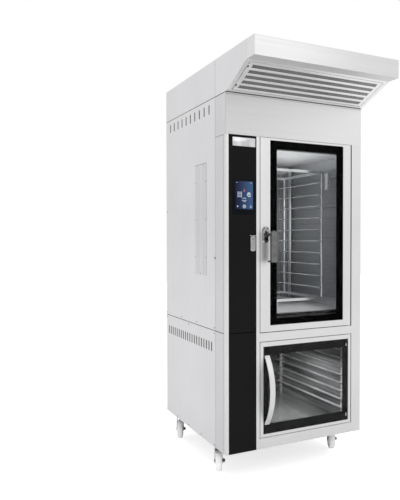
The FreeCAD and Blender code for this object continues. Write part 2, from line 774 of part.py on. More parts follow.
def oven_door():
    """Make the oven door, its handle, gasket, latch keep and rosette."""
    deep = ("0", "door_depth")
    outside = ("door_left", "door_right"), ("door_low", "door_high")
    left, right, low, high = ring(outside[0], outside[1], ("pane_left", "pane_right"),
                                  ("pane_low", "pane_high"), deep)
    pins = [
        rod("hinge_pin + running_fit", "hinge_pin_in", "door_axis_x", "door_axis_y", "door_low"),
        rod("hinge_pin + running_fit", "hinge_pin_in", "door_axis_x", "door_axis_y",
            "door_high - hinge_pin_in"),
    ]
    spindle_way = rod("spindle + running_fit", "door_depth + 2 * cut_over", "handle_x", "-cut_over",
                      "handle_level",
                      BACKWARD)
    node("door_frame", group(cut(left, spindle_way), cut(right, *pins), low, high))
    pane = ("pane_left", "pane_right"), ("pane_low", "pane_high")
    node("door_glass", group(
        block(pane[0], ("0", "pane_thick"), pane[1]),
        block(pane[0], ("inner_pane_face", "inner_pane_face + pane_thick"), pane[1])))
    straight = "(rosette_height - rosette_width) / 2"
    plate = [
        rod("rosette_width / 2", "rosette_thick", "handle_x", "-rosette_thick", f"handle_level + {straight}",
            BACKWARD),
        rod("rosette_width / 2", "rosette_thick", "handle_x", "-rosette_thick", f"handle_level - {straight}",
            BACKWARD),
        block(("handle_x - rosette_width / 2", "handle_x + rosette_width / 2"), ("-rosette_thick", "0"),
              (f"handle_level - {straight}", f"handle_level + {straight}")),
    ]
    rosette_way = rod("spindle + running_fit", "rosette_thick + 2 * cut_over", "handle_x",
                      "-rosette_thick - cut_over",
                      "handle_level", BACKWARD)
    node("handle_rosette", cut(fuse(*plate), rosette_way))
    spindle = rod("spindle", "lever_face + lever_thick + door_depth - spindle_end", "handle_x",
                  "-lever_face - lever_thick",
                  "handle_level", BACKWARD)
    grip = block(("lever_left", "lever_left + lever_width"), ("-lever_face - lever_thick", "-lever_face"),
                 ("lever_low", "lever_top"))
    hook = block(("lever_left - hook_reach", "lever_left"), ("-lever_face - lever_thick", "-lever_face"),
                 ("lever_low", "lever_low + hook_height"))
    node("door_handle", fuse(spindle, grip, hook))
    node("latch_keep", block(("keep_left", "stile_right"), ("frame_depth", "frame_depth + keep_depth"),
                             ("handle_level - keep_height / 2", "handle_level + keep_height / 2")))
    node("door_gasket", group(*ring(
        ("gasket_left", "gasket_right"), ("gasket_low", "gasket_high"),
        ("gasket_left + gasket_width", "gasket_right - gasket_width"),
        ("gasket_low + gasket_width", "gasket_high - gasket_width"),
        ("door_depth + clear_gap", "cavity_front - sheet"))))


def hinges():
    """Make the fixed pins of both doors and of the flap."""
    near = "hinge_block / 2"
    block_y = ("sheet", "hinge_block")
    oven_low = fuse(
        rod("hinge_collar", "door_low - mid_rail_high - clear_gap", "door_axis_x", "door_axis_y",
            "mid_rail_high"),
        rod("hinge_pin", "door_low - mid_rail_high + hinge_pin_in - clear_gap", "door_axis_x", "door_axis_y",
            "mid_rail_high"))
    oven_high = fuse(
        block((f"door_axis_x - {near}", f"door_axis_x + {near}"), block_y,
              ("fascia_low", "fascia_low + hinge_block_height")),
        rod("hinge_pin", "fascia_low - door_high + hinge_pin_in - clear_gap", "door_axis_x", "door_axis_y",
            "door_high - hinge_pin_in + clear_gap"))
    prover_low = rod("prover_pin", "prover_door_low - low_rail_high + prover_pin_in - clear_gap",
                     "prover_axis_x",
                     "prover_axis_y", "low_rail_high")
    prover_high = rod("prover_pin", "mid_rail_low - prover_door_high + prover_pin_in - clear_gap",
                      "prover_axis_x",
                      "prover_axis_y", "prover_door_high - prover_pin_in + clear_gap")
    ear_z = ("flap_axis - flap_barrel", "flap_axis + flap_barrel")
    ear_y = ("-flap_axis_out - flap_barrel", "0")
    flap_pin = fuse(
        rod("flap_pin", "flap_right - flap_left + 2 * clear_gap", "flap_left - clear_gap", "-flap_axis_out",
            "flap_axis",
            ACROSS),
        block(("flap_left - clear_gap - flap_ear", "flap_left - clear_gap"), ear_y, ear_z),
        block(("flap_right + clear_gap", "flap_right + clear_gap + flap_ear"), ear_y, ear_z))
    node("hinge_pins", group(oven_low, oven_high, prover_low, prover_high, flap_pin))


def prover():
    """Make the prover: liner, runners, heater pad, glass door and bow handle."""
    deep = ("frame_depth", "prover_back")
    across = ("prover_left", "prover_right")
    tall = ("prover_low", "prover_high")
    node("prover_liner", group(
        block(across, deep, ("prover_low - sheet", "prover_low")),
        block(across, deep, ("prover_high", "prover_high + sheet")),
        block(("prover_left", "prover_left + sheet"), deep, tall),
        block(("prover_right - sheet", "prover_right"), deep, tall),
        block(("prover_left + sheet", "prover_right - sheet"), ("prover_back - sheet", "prover_back"), tall)))
    parts = []
    left = "prover_left + sheet"
    right = "prover_right - sheet"
    for y in ("prover_post_front", "prover_post_back"):
        for x in (left, f"{right} - post_size"):
            parts.append(block((x, f"{x} + post_size"), (y, f"{y} + post_size"),
                               ("prover_low", "prover_post_high")))
    run_y = ("prover_post_front - runner_over", "prover_post_back + post_size + runner_over")
    for number in range(int(size("runner_count"))):
        level = f"runner_first + runner_pitch * {number}"
        for x in (f"{left} + post_size", f"{right} - post_size - runner_width"):
            parts.append(block((x, f"{x} + runner_width"), run_y, (level, f"{level} + runner_thick")))
    node("prover_runners", group(*parts))
    pad = ("prover_left + heat_pad_inset", "prover_right - heat_pad_inset")
    node("prover_heater", block(pad, ("frame_depth + heat_pad_inset", "prover_back - heat_pad_inset"),
                                ("prover_low - sheet - heat_pad_thick", "prover_low - sheet")))
    left, right, low, high = ring(
        ("prover_door_left", "prover_door_right"), ("prover_door_low", "prover_door_high"),
        ("prover_pane_left", "prover_pane_right"), ("prover_pane_low", "prover_pane_high"), ("0",
                                                                                             "prover_door_depth"))
    pins = [
        rod("prover_pin + running_fit", "prover_pin_in", "prover_axis_x", "prover_axis_y", "prover_door_low"),
        rod("prover_pin + running_fit", "prover_pin_in", "prover_axis_x", "prover_axis_y",
            "prover_door_high - prover_pin_in"),
    ]
    node("prover_door_frame", group(left, cut(right, *pins), low, high))
    node("prover_glass", block(("prover_pane_left", "prover_pane_right"), ("0", "prover_pane_thick"),
                               ("prover_pane_low", "prover_pane_high")))
    half = "((bow_high - bow_low) / 2)"
    radius = f"(({half} * {half} + bow_reach * bow_reach) / (2 * bow_reach))"
    middle = "(bow_low + bow_high) / 2"
    outer = rod(radius, "bow_width", "bow_left", f"{radius} - bow_reach", middle, ACROSS)
    inner = rod(f"{radius} - bow_thick", "bow_width", "bow_left", f"{radius} - bow_reach", middle, ACROSS)
    keep = block(("bow_left", "bow_left + bow_width"), ("-bow_reach - cut_over", "0"),
                 ("bow_low", "bow_high"))
    node("prover_handle", common(cut(outer, inner), keep))


def hood():
    """Make the hood: side sheets, cover, front box, filter, blower and spigot."""
    low = size("seam_level") + size("seam_gap") / 2
    outline = [
        (size("flank_depth") - size("line_gap"), low),
        (-size("filter_toe"), low),
        (-size("hood_lip"), size("hood_front_low")),
        (-size("hood_lip"), size("cab_top")),
        (size("flank_depth") - size("line_gap"), size("cab_top")),
    ]
    cheeks = []
    for name, x in (("left_cheek", 0), ("right_cheek", size("cab_width") - size("sheet"))):
        points = [FreeCAD.Vector(x, y, z) for y, z in outline + outline[:1]]
        face = Part.Face(Part.makePolygon(points))
        cheeks.append(feature(name, face.extrude(FreeCAD.Vector(size("sheet"), 0, 0))))
    rear = ("flank_depth", "cab_depth")
    tall = ("seam_level + seam_gap / 2", "cab_top")
    far = "cab_width - sheet"
    cover = block(("sheet", far), ("-hood_lip", "cab_depth - sheet"), ("cab_top - sheet", "cab_top"))
    throat = rod("spigot_radius - spigot_wall", "sheet + 2 * cut_over", "cab_width / 2", "spigot_y",
                 "cab_top - sheet - cut_over")
    node("hood_panels", group(
        *cheeks, *both_sides(rear, tall), cut(cover, throat),
        block(("sheet", far), ("cab_depth - sheet", "cab_depth"),
              ("seam_level + seam_gap / 2", "cab_top - sheet"))))
    shell = block(("0", "cab_width"), ("-hood_reach", "-hood_lip"), ("hood_front_low", "cab_top"))
    inside = block(("sheet", far), ("-hood_reach + sheet", "-hood_lip + cut_over"),
                   ("hood_front_low + sheet", "cab_top - sheet"))
    node("hood_front_box", cut(shell, inside))
    run = "(hood_lip - filter_toe)"
    drop = "(hood_front_low - seam_level)"
    long = f"sqrt({run} * {run} + {drop} * {drop})"

    def slab(x, inset, start, thick):
        """Make a slab in the sloped plane of the filter."""
        item = doc.addObject("Part::Box", "slab")
        bind(item, Length=f"({x[1]}) - ({x[0]})", Width=f"{long} - 2 * ({inset})", Height=thick)
        place(item, x[0], f"-hood_lip + ({inset}) * {run} / {long} + ({start}) * {drop} / {long}",
              f"hood_front_low - ({inset}) * {drop} / {long} + ({start}) * {run} / {long}",
              FreeCAD.Rotation(FreeCAD.Vector(1, 0, 0), 1))
        item.setExpression("Placement.Rotation.Angle", bound(f"-atan({drop} / {run})"))
        return item

    hole_x = ("filter_side", "cab_width - filter_side")
    frame = slab(("sheet", far), "0", "0", "filter_frame_thick")
    hole = slab(hole_x, "filter_end", "-cut_over", "filter_frame_thick + 2 * cut_over")
    node("filter_frame", cut(frame, hole))
    node("hood_filter", slab(("filter_side + filter_gap", "cab_width - filter_side - filter_gap"),
                             "filter_end + filter_gap", "0", "filter_thick"))
    pipe = rod("spigot_radius", "spigot_height", "cab_width / 2", "spigot_y", "cab_top")
    hollow = rod("spigot_radius - spigot_wall", "spigot_height + 2 * cut_over", "cab_width / 2", "spigot_y",
                 "cab_top - cut_over")
    node("exhaust_spigot", cut(pipe, hollow))
    deck = "seam_level + seam_gap"
    motor = rod("blower_motor", f"blower_motor_high - ({deck})", "cab_width / 2", "spigot_y", deck)
    bore = rod("fan_shaft + running_fit", "fan_shaft_in + cut_over", "cab_width / 2", "spigot_y",
               "blower_motor_high - fan_shaft_in")
    node("blower_motor", cut(motor, bore))
    plate = rod("blower_radius", "fan_disc", "cab_width / 2", "spigot_y", "blower_low")
    hub = rod("fan_hub", "blower_height / 2", "cab_width / 2", "spigot_y", "blower_low")
    shaft = rod("fan_shaft", "blower_low - blower_motor_high + fan_shaft_in - clear_gap", "cab_width / 2",
                "spigot_y",
                "blower_motor_high - fan_shaft_in + clear_gap")
    tyre = rod("blower_radius", "blower_height", "cab_width / 2", "spigot_y", "blower_low")
    well = rod("blower_radius - fan_disc", "blower_height", "cab_width / 2", "spigot_y", "blower_low")
    node("blower_wheel", fuse(plate, hub, shaft, cut(tyre, well)))


def rear_fittings():
    """Make the cable gland, the water inlet and the drain at the back."""
    gland = cut(
        rod("gland_radius", "rear_reach", "gland_x", "cab_depth", "fitting_level", BACKWARD),
        rod("gland_bore", "rear_reach", "gland_x", "cab_depth", "fitting_level", BACKWARD))
    inlet = rod("inlet_radius", "rear_reach", "inlet_x", "cab_depth", "fitting_level", BACKWARD)
    drain = rod("drain_radius", "rear_reach", "drain_x", "cab_depth", "drain_level", BACKWARD)
    node("rear_fittings", group(gland, inlet, drain))


def panel_screws():
    """Make the screw heads along the side panels."""
    span = "(cab_depth - flank_depth - 2 * screw_edge)"
    rows = [("split_level + seam_gap / 2 + screw_edge", 4), ("split_level - seam_gap / 2 - screw_edge", 3),
            ("screw_edge", 5)]
    heads = []
    for level, count in rows:
        for number in range(count):
            y = f"flank_depth + screw_edge + {span} * {number} / {count - 1}"
            for x in ("-screw_proud", "cab_width"):
                heads.append(rod("screw_head", "screw_proud", x, y, level, ACROSS))
    node("panel_screws", group(*heads))


def castors():
    """Make four swivel castors, the front pair with toe brakes."""
    plates = []
    for end, y in (("front", "castor_front"), ("back", "(cab_depth - castor_back_inset)")):
        for side, x in (("left", "castor_side"), ("right", "(cab_width - castor_side)")):
            plates.append(castor(f"{end}_{side}", x, y, end == "front"))
    node("castor_plates", group(*plates))


def swivelled(item, x, y):
    """Turn a castor's piece about its upright axis to the castors' rest angle."""
    whole = group(item)
    whole.Placement = FreeCAD.Placement(FreeCAD.Vector(), FreeCAD.Rotation(UP, 1))
    across = f"({x} {MOVE_X})"
    along = f"({y} {MOVE_Y})"
    bind(whole, **{
        "Placement.Base.x": f"{across} - cos(castor_turn) * {across} + sin(castor_turn) * {along}",
        "Placement.Base.y": f"{along} - sin(castor_turn) * {across} - cos(castor_turn) * {along}",
        "Placement.Rotation.Angle": "castor_turn",
    })
    return whole


def castor(name, x, y, braked):
    """Make one castor and return its fixed plate."""
    inside = "(wheel_width / 2 + fork_gap)"
    outside = "(wheel_width / 2 + fork_gap + fork_wall)"
    half_x = "castor_plate_x / 2"
    half_y = "castor_plate_y / 2"
    plate = block((f"{x} - {half_x}", f"{x} + {half_x}"), (f"{y} - {half_y}", f"{y} + {half_y}"),
                  ("-castor_plate_thick", "0"))
    king = rod("king_pin", "castor_plate_thick + king_pin_in", x, y, "-castor_plate_thick - king_pin_in")
    bolts = []
    for a in "+-":
        for b in "+-":
            bolts.append(rod("castor_bolt", "castor_bolt_head", f"{x} {a} ({half_x} - castor_bolt_inset)",
                             f"{y} {b} ({half_y} - castor_bolt_inset)", "-castor_plate_thick - castor_bolt_head"))
    head_top = "-castor_plate_thick - castor_bolt_head - clear_gap"
    head_low = f"{head_top} - head_height"
    hub = f"{y} - fork_trail"
    axle_z = "wheel_radius - castor_height"
    head = rod("head_radius", "head_height", x, y, head_low)
    legs = []
    ears = []
    for a in "+-":
        near = f"{x} {a} {inside}"
        far = f"{x} {a} {outside}"
        span = (near, far) if a == "+" else (far, near)
        legs.append(block(span, (f"{hub} - fork_half", f"{y} + fork_half"),
                          (f"{axle_z} - axle * 2", head_top)))
        if braked:
            ears.append(block(span, (f"{hub} - fork_half - pedal_ear", f"{hub} - fork_half"),
                              ("-pedal_level - pedal_thick", "-pedal_level + pedal_thick")))
    bridge = block((f"{x} - {inside}", f"{x} + {inside}"), (f"{y} - fork_half", f"{y} + fork_half"),
                   (head_low, head_top))
    axle = rod("axle", f"2 * {outside}", f"{x} - {outside}", hub, axle_z, ACROSS)
    king_way = rod("king_pin + running_fit", "castor_plate_thick + king_pin_in + cut_over", x, y,
                   "-castor_plate_thick - king_pin_in - clear_gap")
    fork = cut(fuse(head, bridge, axle, *legs, *ears), king_way)
    pedal_y = f"{hub} - fork_half - pedal_ear / 2"
    if braked:
        pin_way = rod("pedal_pin + running_fit", f"2 * ({outside} + cut_over)", f"{x} - {outside} - cut_over",
                      pedal_y, "-pedal_level", ACROSS)
        fork = cut(fork, pin_way)
        pin = rod("pedal_pin", f"2 * {outside}", f"{x} - {outside}", pedal_y, "-pedal_level", ACROSS)
        tread = block((f"{x} - {inside} + clear_gap", f"{x} + {inside} - clear_gap"),
                      (f"{pedal_y} - pedal_reach", f"{pedal_y} + pedal_pin"),
                      ("-pedal_level - pedal_thick / 2", "-pedal_level + pedal_thick / 2"))
        node(f"castor_brake_{name}", swivelled(fuse(pin, tread), x, y))
    node(f"castor_fork_{name}", swivelled(fork, x, y))
    tyre = rod("wheel_radius", "tread_width", f"{x} - tread_width / 2", hub, axle_z, ACROSS)
    core = rod("wheel_radius / 2", "wheel_width", f"{x} - wheel_width / 2", hub, axle_z, ACROSS)
    axle_way = rod("axle + running_fit", "wheel_width + 2 * cut_over", f"{x} - wheel_width / 2 - cut_over",
                   hub, axle_z,
                   ACROSS)
    node(f"castor_wheel_{name}", swivelled(cut(fuse(tyre, core), axle_way), x, y))
    return fuse(plate, king, *bolts)


def write_parts():
    """Check every object and write each sub-part to its own file."""
    doc.recompute()
    for item in doc.Objects:
        if "Invalid" in item.State or "Error" in item.State:
            raise RuntimeError(f"{item.Label} failed: {item.State}")
    for item in nodes:
        if item.Shape.isNull() or not item.Shape.isValid():
            raise RuntimeError(f"{item.Label} has no valid shape")
    os.makedirs("parts", exist_ok=True)
    for item in nodes:
        item.Shape.exportStep(f"parts/{item.Label}.step")
    print(len(nodes), "sub-parts written")


base_module()
front_and_sides()
vent_strip()
control_column()
oven_cavity()
circulation()
rack()
oven_door()
hinges()
prover()
hood()
rear_fittings()
panel_screws()
castors()
write_parts()
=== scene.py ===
"""Rotary oven on a prover base: finishes, dressed pieces, studio light and camera."""

import logging
import math
from dataclasses import dataclass
from enum import Enum
from functools import lru_cache
from typing import Any, Callable, Dict, Iterable, List, Optional, Sequence, Tuple

import bmesh
import bpy
from mathutils import Matrix, Vector


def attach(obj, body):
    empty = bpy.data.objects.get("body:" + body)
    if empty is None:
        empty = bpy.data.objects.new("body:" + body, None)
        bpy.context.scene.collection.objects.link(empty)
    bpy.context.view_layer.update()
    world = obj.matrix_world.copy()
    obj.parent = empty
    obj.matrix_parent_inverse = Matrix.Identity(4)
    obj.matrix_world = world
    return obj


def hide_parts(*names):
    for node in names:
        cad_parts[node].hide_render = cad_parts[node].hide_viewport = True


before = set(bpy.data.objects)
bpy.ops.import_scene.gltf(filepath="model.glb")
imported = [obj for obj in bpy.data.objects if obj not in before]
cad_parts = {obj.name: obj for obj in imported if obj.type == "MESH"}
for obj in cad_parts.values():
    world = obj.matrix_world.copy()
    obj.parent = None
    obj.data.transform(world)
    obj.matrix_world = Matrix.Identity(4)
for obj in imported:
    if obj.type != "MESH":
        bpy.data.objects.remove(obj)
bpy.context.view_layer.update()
LOG = logging.getLogger("rotary_oven")

Span = Tuple[float, float]
Triple = Tuple[float, float, float]
Colour = Triple
Point = Tuple[float, float]
Outline = Sequence[Point]
Place = Callable[[Vector], Vector]
Put = Callable[[float, float, float], Vector]
Socket = bpy.types.NodeSocket

MILLIMETRE = 0.001
CABINET_CENTRE = 460.0
CABINET_SHIFT = 334.0
CABINET_LIFT = 165.0
RELIEF_DEPTH = 0.0005
STREAK_SHARE = 0.13
ACROSS = Vector((1, 0, 0))
BACKWARD = Vector((0, 1, 0))
FORWARD = Vector((0, -1, 0))
UPWARD = Vector((0, 0, 1))


def at(x: float, y: float, z: float) -> Vector:
    """Turn a cabinet place in millimetres into a place in the frame in metres."""
    return Vector((x - CABINET_CENTRE, y - CABINET_SHIFT, z + CABINET_LIFT)) * MILLIMETRE


def frame_x(x: float) -> float:
    """Turn a cabinet place across in millimetres into the frame's metres."""
    return (x - CABINET_CENTRE) * MILLIMETRE


def grey(value: float) -> Colour:
    """Give an even grey."""
    return (value, value, value)


def opaque(colour: Colour) -> Tuple[float, float, float, float]:
    """Give a colour with full cover."""
    return (*colour, 1.0)


# Shader node groups


class Ease(Enum):
    """How a mapped value moves between its limits."""

    PLAIN = "LINEAR"
    SMOOTH = "SMOOTHSTEP"


class NodeBench:
    """Places and wires the nodes of one node tree."""

    def __init__(self, tree: bpy.types.NodeTree) -> None:
        """Take hold of a tree."""
        self.tree = tree

    def feed(self, socket: Socket, value: Any) -> None:
        """Link a socket to an output, or set its constant.

        Args:
            socket: The input to feed.
            value: An output socket or a constant.
        """
        if isinstance(value, bpy.types.NodeSocket):
            self.tree.links.new(value, socket)
        else:
            socket.default_value = value

    def fill(self, node: bpy.types.Node, values: Dict[Any, Any]) -> bpy.types.Node:
        """Feed several inputs of a node.

        Args:
            node: The node.
            values: Input names or numbers with the output or constant that each takes.

        Returns:
            The node itself.
        """
        for name, value in values.items():
            self.feed(node.inputs[name], value)
        return node

    def add(self, kind: str, values: Optional[Dict[Any, Any]] = None, **settings: Any) -> bpy.types.Node:
        """Add a node and feed its inputs.

        Args:
            kind: The node's type name.
            values: Input names or numbers with the output or constant that each takes.
            **settings: Properties of the node itself.

        Returns:
            The new node.
        """
        node = self.tree.nodes.new(kind)
        for name, value in settings.items():
            setattr(node, name, value)
        return self.fill(node, values or {})

    def group(self, tree: bpy.types.NodeTree, values: Dict[str, Any]) -> bpy.types.Node:
        """Place a node group with its own values and return its node."""
        return self.add("ShaderNodeGroup", values, node_tree=tree)

    def noise(self, position: Any, scale: Any, detail: float, rough: float = 0.5) -> Socket:
        """Give the strength of a noise at a position."""
        return self.add("ShaderNodeTexNoise", {"Vector": position, "Scale": scale, "Detail": detail,
                                               "Roughness": rough}).outputs["Fac"]

    def ranged(self, value: Any, source: Sequence[Any], target: Sequence[Any] = (0.0, 1.0),
               ease: Ease = Ease.PLAIN) -> Socket:
        """Map a value from one pair of limits to another.

        Args:
            value: The value to map.
            source: Its own limits.
            target: The limits that it gets.
            ease: How it moves between them.

        Returns:
            The mapped value.
        """
        limits = {"Value": value, "From Min": source[0], "From Max": source[1], "To Min": target[0],
                  "To Max": target[1]}
        return self.add("ShaderNodeMapRange", limits, interpolation_type=ease.value).outputs["Result"]

    def maths(self, operation: str, *values: Any) -> Socket:
        """Give the result of an operation on two or three values."""
        return self.add("ShaderNodeMath", dict(enumerate(values)), operation=operation).outputs[0]

    def scaled(self, vector: Any, factors: Any) -> Socket:
        """Give a vector multiplied axis by axis."""
        return self.add("ShaderNodeVectorMath", {0: vector, 1: factors}, operation="MULTIPLY").outputs[0]

    def mixed(self, share: Any, first: Any, second: Any) -> Socket:
        """Give a blend of two colours."""
        return self.add("ShaderNodeMix", {0: share, 6: first, 7: second}, data_type="RGBA").outputs[2]

    def bumped(self, height: Any, strength: float) -> Socket:
        """Give the normal of a surface with a slight relief."""
        return self.add("ShaderNodeBump", {"Strength": strength, "Distance": RELIEF_DEPTH,
                                           "Height": height}).outputs["Normal"]


class Kind(Enum):
    """Socket types of the node groups."""

    VALUE = "NodeSocketFloat"
    COLOUR = "NodeSocketColor"
    VECTOR = "NodeSocketVector"


class Effects:
    """The node groups that several finishes share, each built once."""

    @staticmethod
    def start(name: str, inputs: Dict[str, Kind], outputs: Dict[str, Kind]) -> Tuple[NodeBench, Any, Any]:
        """Make an empty group with named sockets.

        Args:
            name: The group's name.
            inputs: Input names and kinds.
            outputs: Output names and kinds.

        Returns:
            A bench on the group, the sockets that bring values in and those that take results out.
        """
        tree = bpy.data.node_groups.new(name, "ShaderNodeTree")
        for way, sockets in (("INPUT", inputs), ("OUTPUT", outputs)):
            for label, kind in sockets.items():
                tree.interface.new_socket(name=label, in_out=way, socket_type=kind.value)
        bench = NodeBench(tree)
        return bench, bench.add("NodeGroupInput").outputs, bench.add("NodeGroupOutput").inputs

    @staticmethod
    @lru_cache(maxsize=None)
    def brushed_grain() -> bpy.types.NodeTree:
        """Build fine brush lines with longer streaks among them.

        Returns:
            The group.
        """
        bench, taken, given = Effects.start(
            "BrushedGrain", {"Position": Kind.VECTOR, "Frequency": Kind.VECTOR},
            {"Tone": Kind.VALUE, "Height": Kind.VALUE})
        stretched = bench.scaled(taken["Position"], taken["Frequency"])
        streak = bench.noise(bench.scaled(stretched, grey(STREAK_SHARE)), 1.0, 3.0)
        both = bench.maths("ADD", bench.noise(stretched, 1.0, 2.0), streak)
        bench.feed(given["Tone"], bench.ranged(both, (0.7, 1.3)))
        bench.feed(given["Height"], both)
        return bench.tree

    @staticmethod
    @lru_cache(maxsize=None)
    def cloud_tone() -> bpy.types.NodeTree:
        """Build a colour that drifts softly between two tones.

        Returns:
            The group.
        """
        bench, taken, given = Effects.start(
            "CloudTone", {"Position": Kind.VECTOR, "Scale": Kind.VALUE, "Light": Kind.COLOUR,
                          "Dark": Kind.COLOUR}, {"Color": Kind.COLOUR})
        share = bench.ranged(bench.noise(taken["Position"], taken["Scale"], 3.0), (0.3, 0.7))
        bench.feed(given["Color"], bench.mixed(share, taken["Light"], taken["Dark"]))
        return bench.tree

    @staticmethod
    @lru_cache(maxsize=None)
    def smudge() -> bpy.types.NodeTree:
        """Build a value that drifts between two limits, as handled surfaces do.

        Returns:
            The group.
        """
        bench, taken, given = Effects.start(
            "Smudge", {"Position": Kind.VECTOR, "Scale": Kind.VALUE, "Low": Kind.VALUE, "High": Kind.VALUE},
            {"Value": Kind.VALUE})
        noise = bench.noise(taken["Position"], taken["Scale"], 4.0, 0.6)
        bench.feed(given["Value"], bench.ranged(noise, (0.3, 0.7), (taken["Low"], taken["High"])))
        return bench.tree

    @staticmethod
    @lru_cache(maxsize=None)
    def speck() -> bpy.types.NodeTree:
        """Build the fine texture of lacquer, moulded plastic and fibre.

        Returns:
            The group.
        """
        bench, taken, given = Effects.start("Speck", {"Position": Kind.VECTOR, "Scale": Kind.VALUE},
                                            {"Height": Kind.VALUE})
        bench.feed(given["Height"], bench.noise(taken["Position"], taken["Scale"], 2.0))
        return bench.tree

    @staticmethod
    @lru_cache(maxsize=None)
    def side_fade() -> bpy.types.NodeTree:
        """Build a colour that changes across a width: painted shade across steel faces, and the glow across
        the screen.

        Returns:
            The group.
        """
        bench, taken, given = Effects.start(
            "SideFade", {"Position": Kind.VECTOR, "From": Kind.VALUE, "To": Kind.VALUE, "Near": Kind.COLOUR,
                         "Far": Kind.COLOUR}, {"Color": Kind.COLOUR})
        across = bench.add("ShaderNodeSeparateXYZ", {0: taken["Position"]}).outputs["X"]
        share = bench.ranged(across, (taken["From"], taken["To"]), ease=Ease.SMOOTH)
        bench.feed(given["Color"], bench.mixed(share, taken["Near"], taken["Far"]))
        return bench.tree


# Finishes


class Grain(Enum):
    """Which way the brush lines run, as noise frequencies per metre."""

    ALONG_X = (3.0, 520.0, 520.0)
    ALONG_Y = (520.0, 3.0, 520.0)
    ALONG_Z = (520.0, 520.0, 3.0)


@dataclass(frozen=True)
class Finish:
    """What every finish shares: its name and the material slot that it belongs to."""

    name: str
    slot: str

    def material(self) -> bpy.types.Material:
        """Give the finish's material, made at its first use.

        Returns:
            The material.
        """
        known = bpy.data.materials.get(self.name)
        if known:
            return known
        material = bpy.data.materials.new(self.name)
        material.use_nodes = True
        bench = NodeBench(material.node_tree)
        position = bench.add("ShaderNodeTexCoord").outputs["Object"]
        bench.fill(material.node_tree.nodes["Principled BSDF"], self.looks(bench, position))
        return material

    def looks(self, bench: NodeBench, position: Socket) -> Dict[str, Any]:
        """Give what the shader's inputs take in this finish."""
        raise NotImplementedError


@dataclass(frozen=True)
class Steel(Finish):
    """Brushed, rolled or polished metal."""

    light: Colour
    dark: Colour
    rough: Span
    grain: Grain = Grain.ALONG_Z
    relief: float = 0.03
    cloud: float = 2.2
    metallic: float = 1.0
    # Span across which painted shade runs from the first colour to the second
    painted_shade_across: Optional[Span] = None
    # Stretch of the drifting tone; a strong stretch paints reflection streaks
    painted_streak_stretch: Triple = (1.0, 1.0, 1.0)

    def looks(self, bench: NodeBench, position: Socket) -> Dict[str, Any]:
        """Make drifting tone, brush lines and their relief, or, where a span is given, painted shade that
        changes across the width.

        Args:
            bench: The material's bench.
            position: The place on the surface.

        Returns:
            What the shader's inputs take.
        """
        grain = bench.group(Effects.brushed_grain(), {"Position": position, "Frequency": self.grain.value})
        light, dark = opaque(self.light), opaque(self.dark)
        # Painted shade: the colour runs across the width in place of the drifting tone
        if self.painted_shade_across:
            tone = bench.group(Effects.side_fade(), {"Position": position, "From": frame_x(self.painted_shade_across[0]),
                                                     "To": frame_x(self.painted_shade_across[1]), "Near": light, "Far": dark})
        else:
            tone = bench.group(Effects.cloud_tone(), {"Position": bench.scaled(position, self.painted_streak_stretch),
                                                      "Scale": self.cloud, "Light": light, "Dark": dark})
        return {"Metallic": self.metallic, "Base Color": tone.outputs["Color"],
                "Roughness": bench.ranged(grain.outputs["Tone"], (0.0, 1.0), self.rough),
                "Normal": bench.bumped(grain.outputs["Height"], self.relief)}


@dataclass(frozen=True)
class Coating(Finish):
    """Lacquer, moulded plastic, rubber or fibre."""

    light: Colour
    dark: Colour
    rough: Span
    speck: float = 900.0
    relief: float = 0.08
    cloud: float = 12.0
    specular: float = 0.5
    coat: float = 0.0

    def looks(self, bench: NodeBench, position: Socket) -> Dict[str, Any]:
        """Make drifting tone, smudged gloss and fine texture.

        Args:
            bench: The material's bench.
            position: The place on the surface.

        Returns:
            What the shader's inputs take.
        """
        tone = bench.group(Effects.cloud_tone(), {"Position": position, "Scale": self.cloud,
                                                  "Light": opaque(self.light), "Dark": opaque(self.dark)})
        gloss = bench.group(Effects.smudge(), {"Position": position, "Scale": self.cloud * 2,
                                               "Low": self.rough[0], "High": self.rough[1]})
        speck = bench.group(Effects.speck(), {"Position": position, "Scale": self.speck})
        return {"Specular IOR Level": self.specular, "Coat Weight": self.coat,
                "Base Color": tone.outputs["Color"], "Roughness": gloss.outputs["Value"],
                "Normal": bench.bumped(speck.outputs["Height"], self.relief)}


@dataclass(frozen=True)
class Pane(Finish):
    """Clear toughened glass with faint smears."""

    light: Colour
    dark: Colour
    index: float
    tint_scale: float = 3.0
    smear_scale: float = 9.0
    smear: float = 0.015

    def looks(self, bench: NodeBench, position: Socket) -> Dict[str, Any]:
        """Make a slight tint and faint smears.

        Args:
            bench: The material's bench.
            position: The place on the surface.

        Returns:
            What the shader's inputs take.
        """
        tone = bench.group(Effects.cloud_tone(), {"Position": position, "Scale": self.tint_scale,
                                                  "Light": opaque(self.light), "Dark": opaque(self.dark)})
        gloss = bench.group(Effects.smudge(), {"Position": position, "Scale": self.smear_scale, "Low": 0.0,
                                               "High": self.smear})
        return {"Transmission Weight": 1.0, "IOR": self.index, "Base Color": tone.outputs["Color"],
                "Roughness": gloss.outputs["Value"]}


@dataclass(frozen=True)
class Lit(Finish):
    """A lit face whose colour changes across its width."""

    near: Colour
    far: Colour
    across: Span
    strength: float = 1.0
    base: Colour = (0.004, 0.005, 0.01)
    rough: Span = (0.15, 0.25)
    smear_scale: float = 40.0
    specular: float = 0.15

    def looks(self, bench: NodeBench, position: Socket) -> Dict[str, Any]:
        """Make the glow from one side to the other.

        Args:
            bench: The material's bench.
            position: The place on the surface.

        Returns:
            What the shader's inputs take.
        """
        glow = bench.group(Effects.side_fade(), {
            "Position": position, "From": frame_x(self.across[0]), "To": frame_x(self.across[1]),
            "Near": opaque(self.near), "Far": opaque(self.far)})
        gloss = bench.group(Effects.smudge(), {"Position": position, "Scale": self.smear_scale,
                                               "Low": self.rough[0], "High": self.rough[1]})
        return {"Base Color": opaque(self.base), "Specular IOR Level": self.specular,
                "Emission Strength": self.strength, "Roughness": gloss.outputs["Value"],
                "Emission Color": glow.outputs["Color"]}


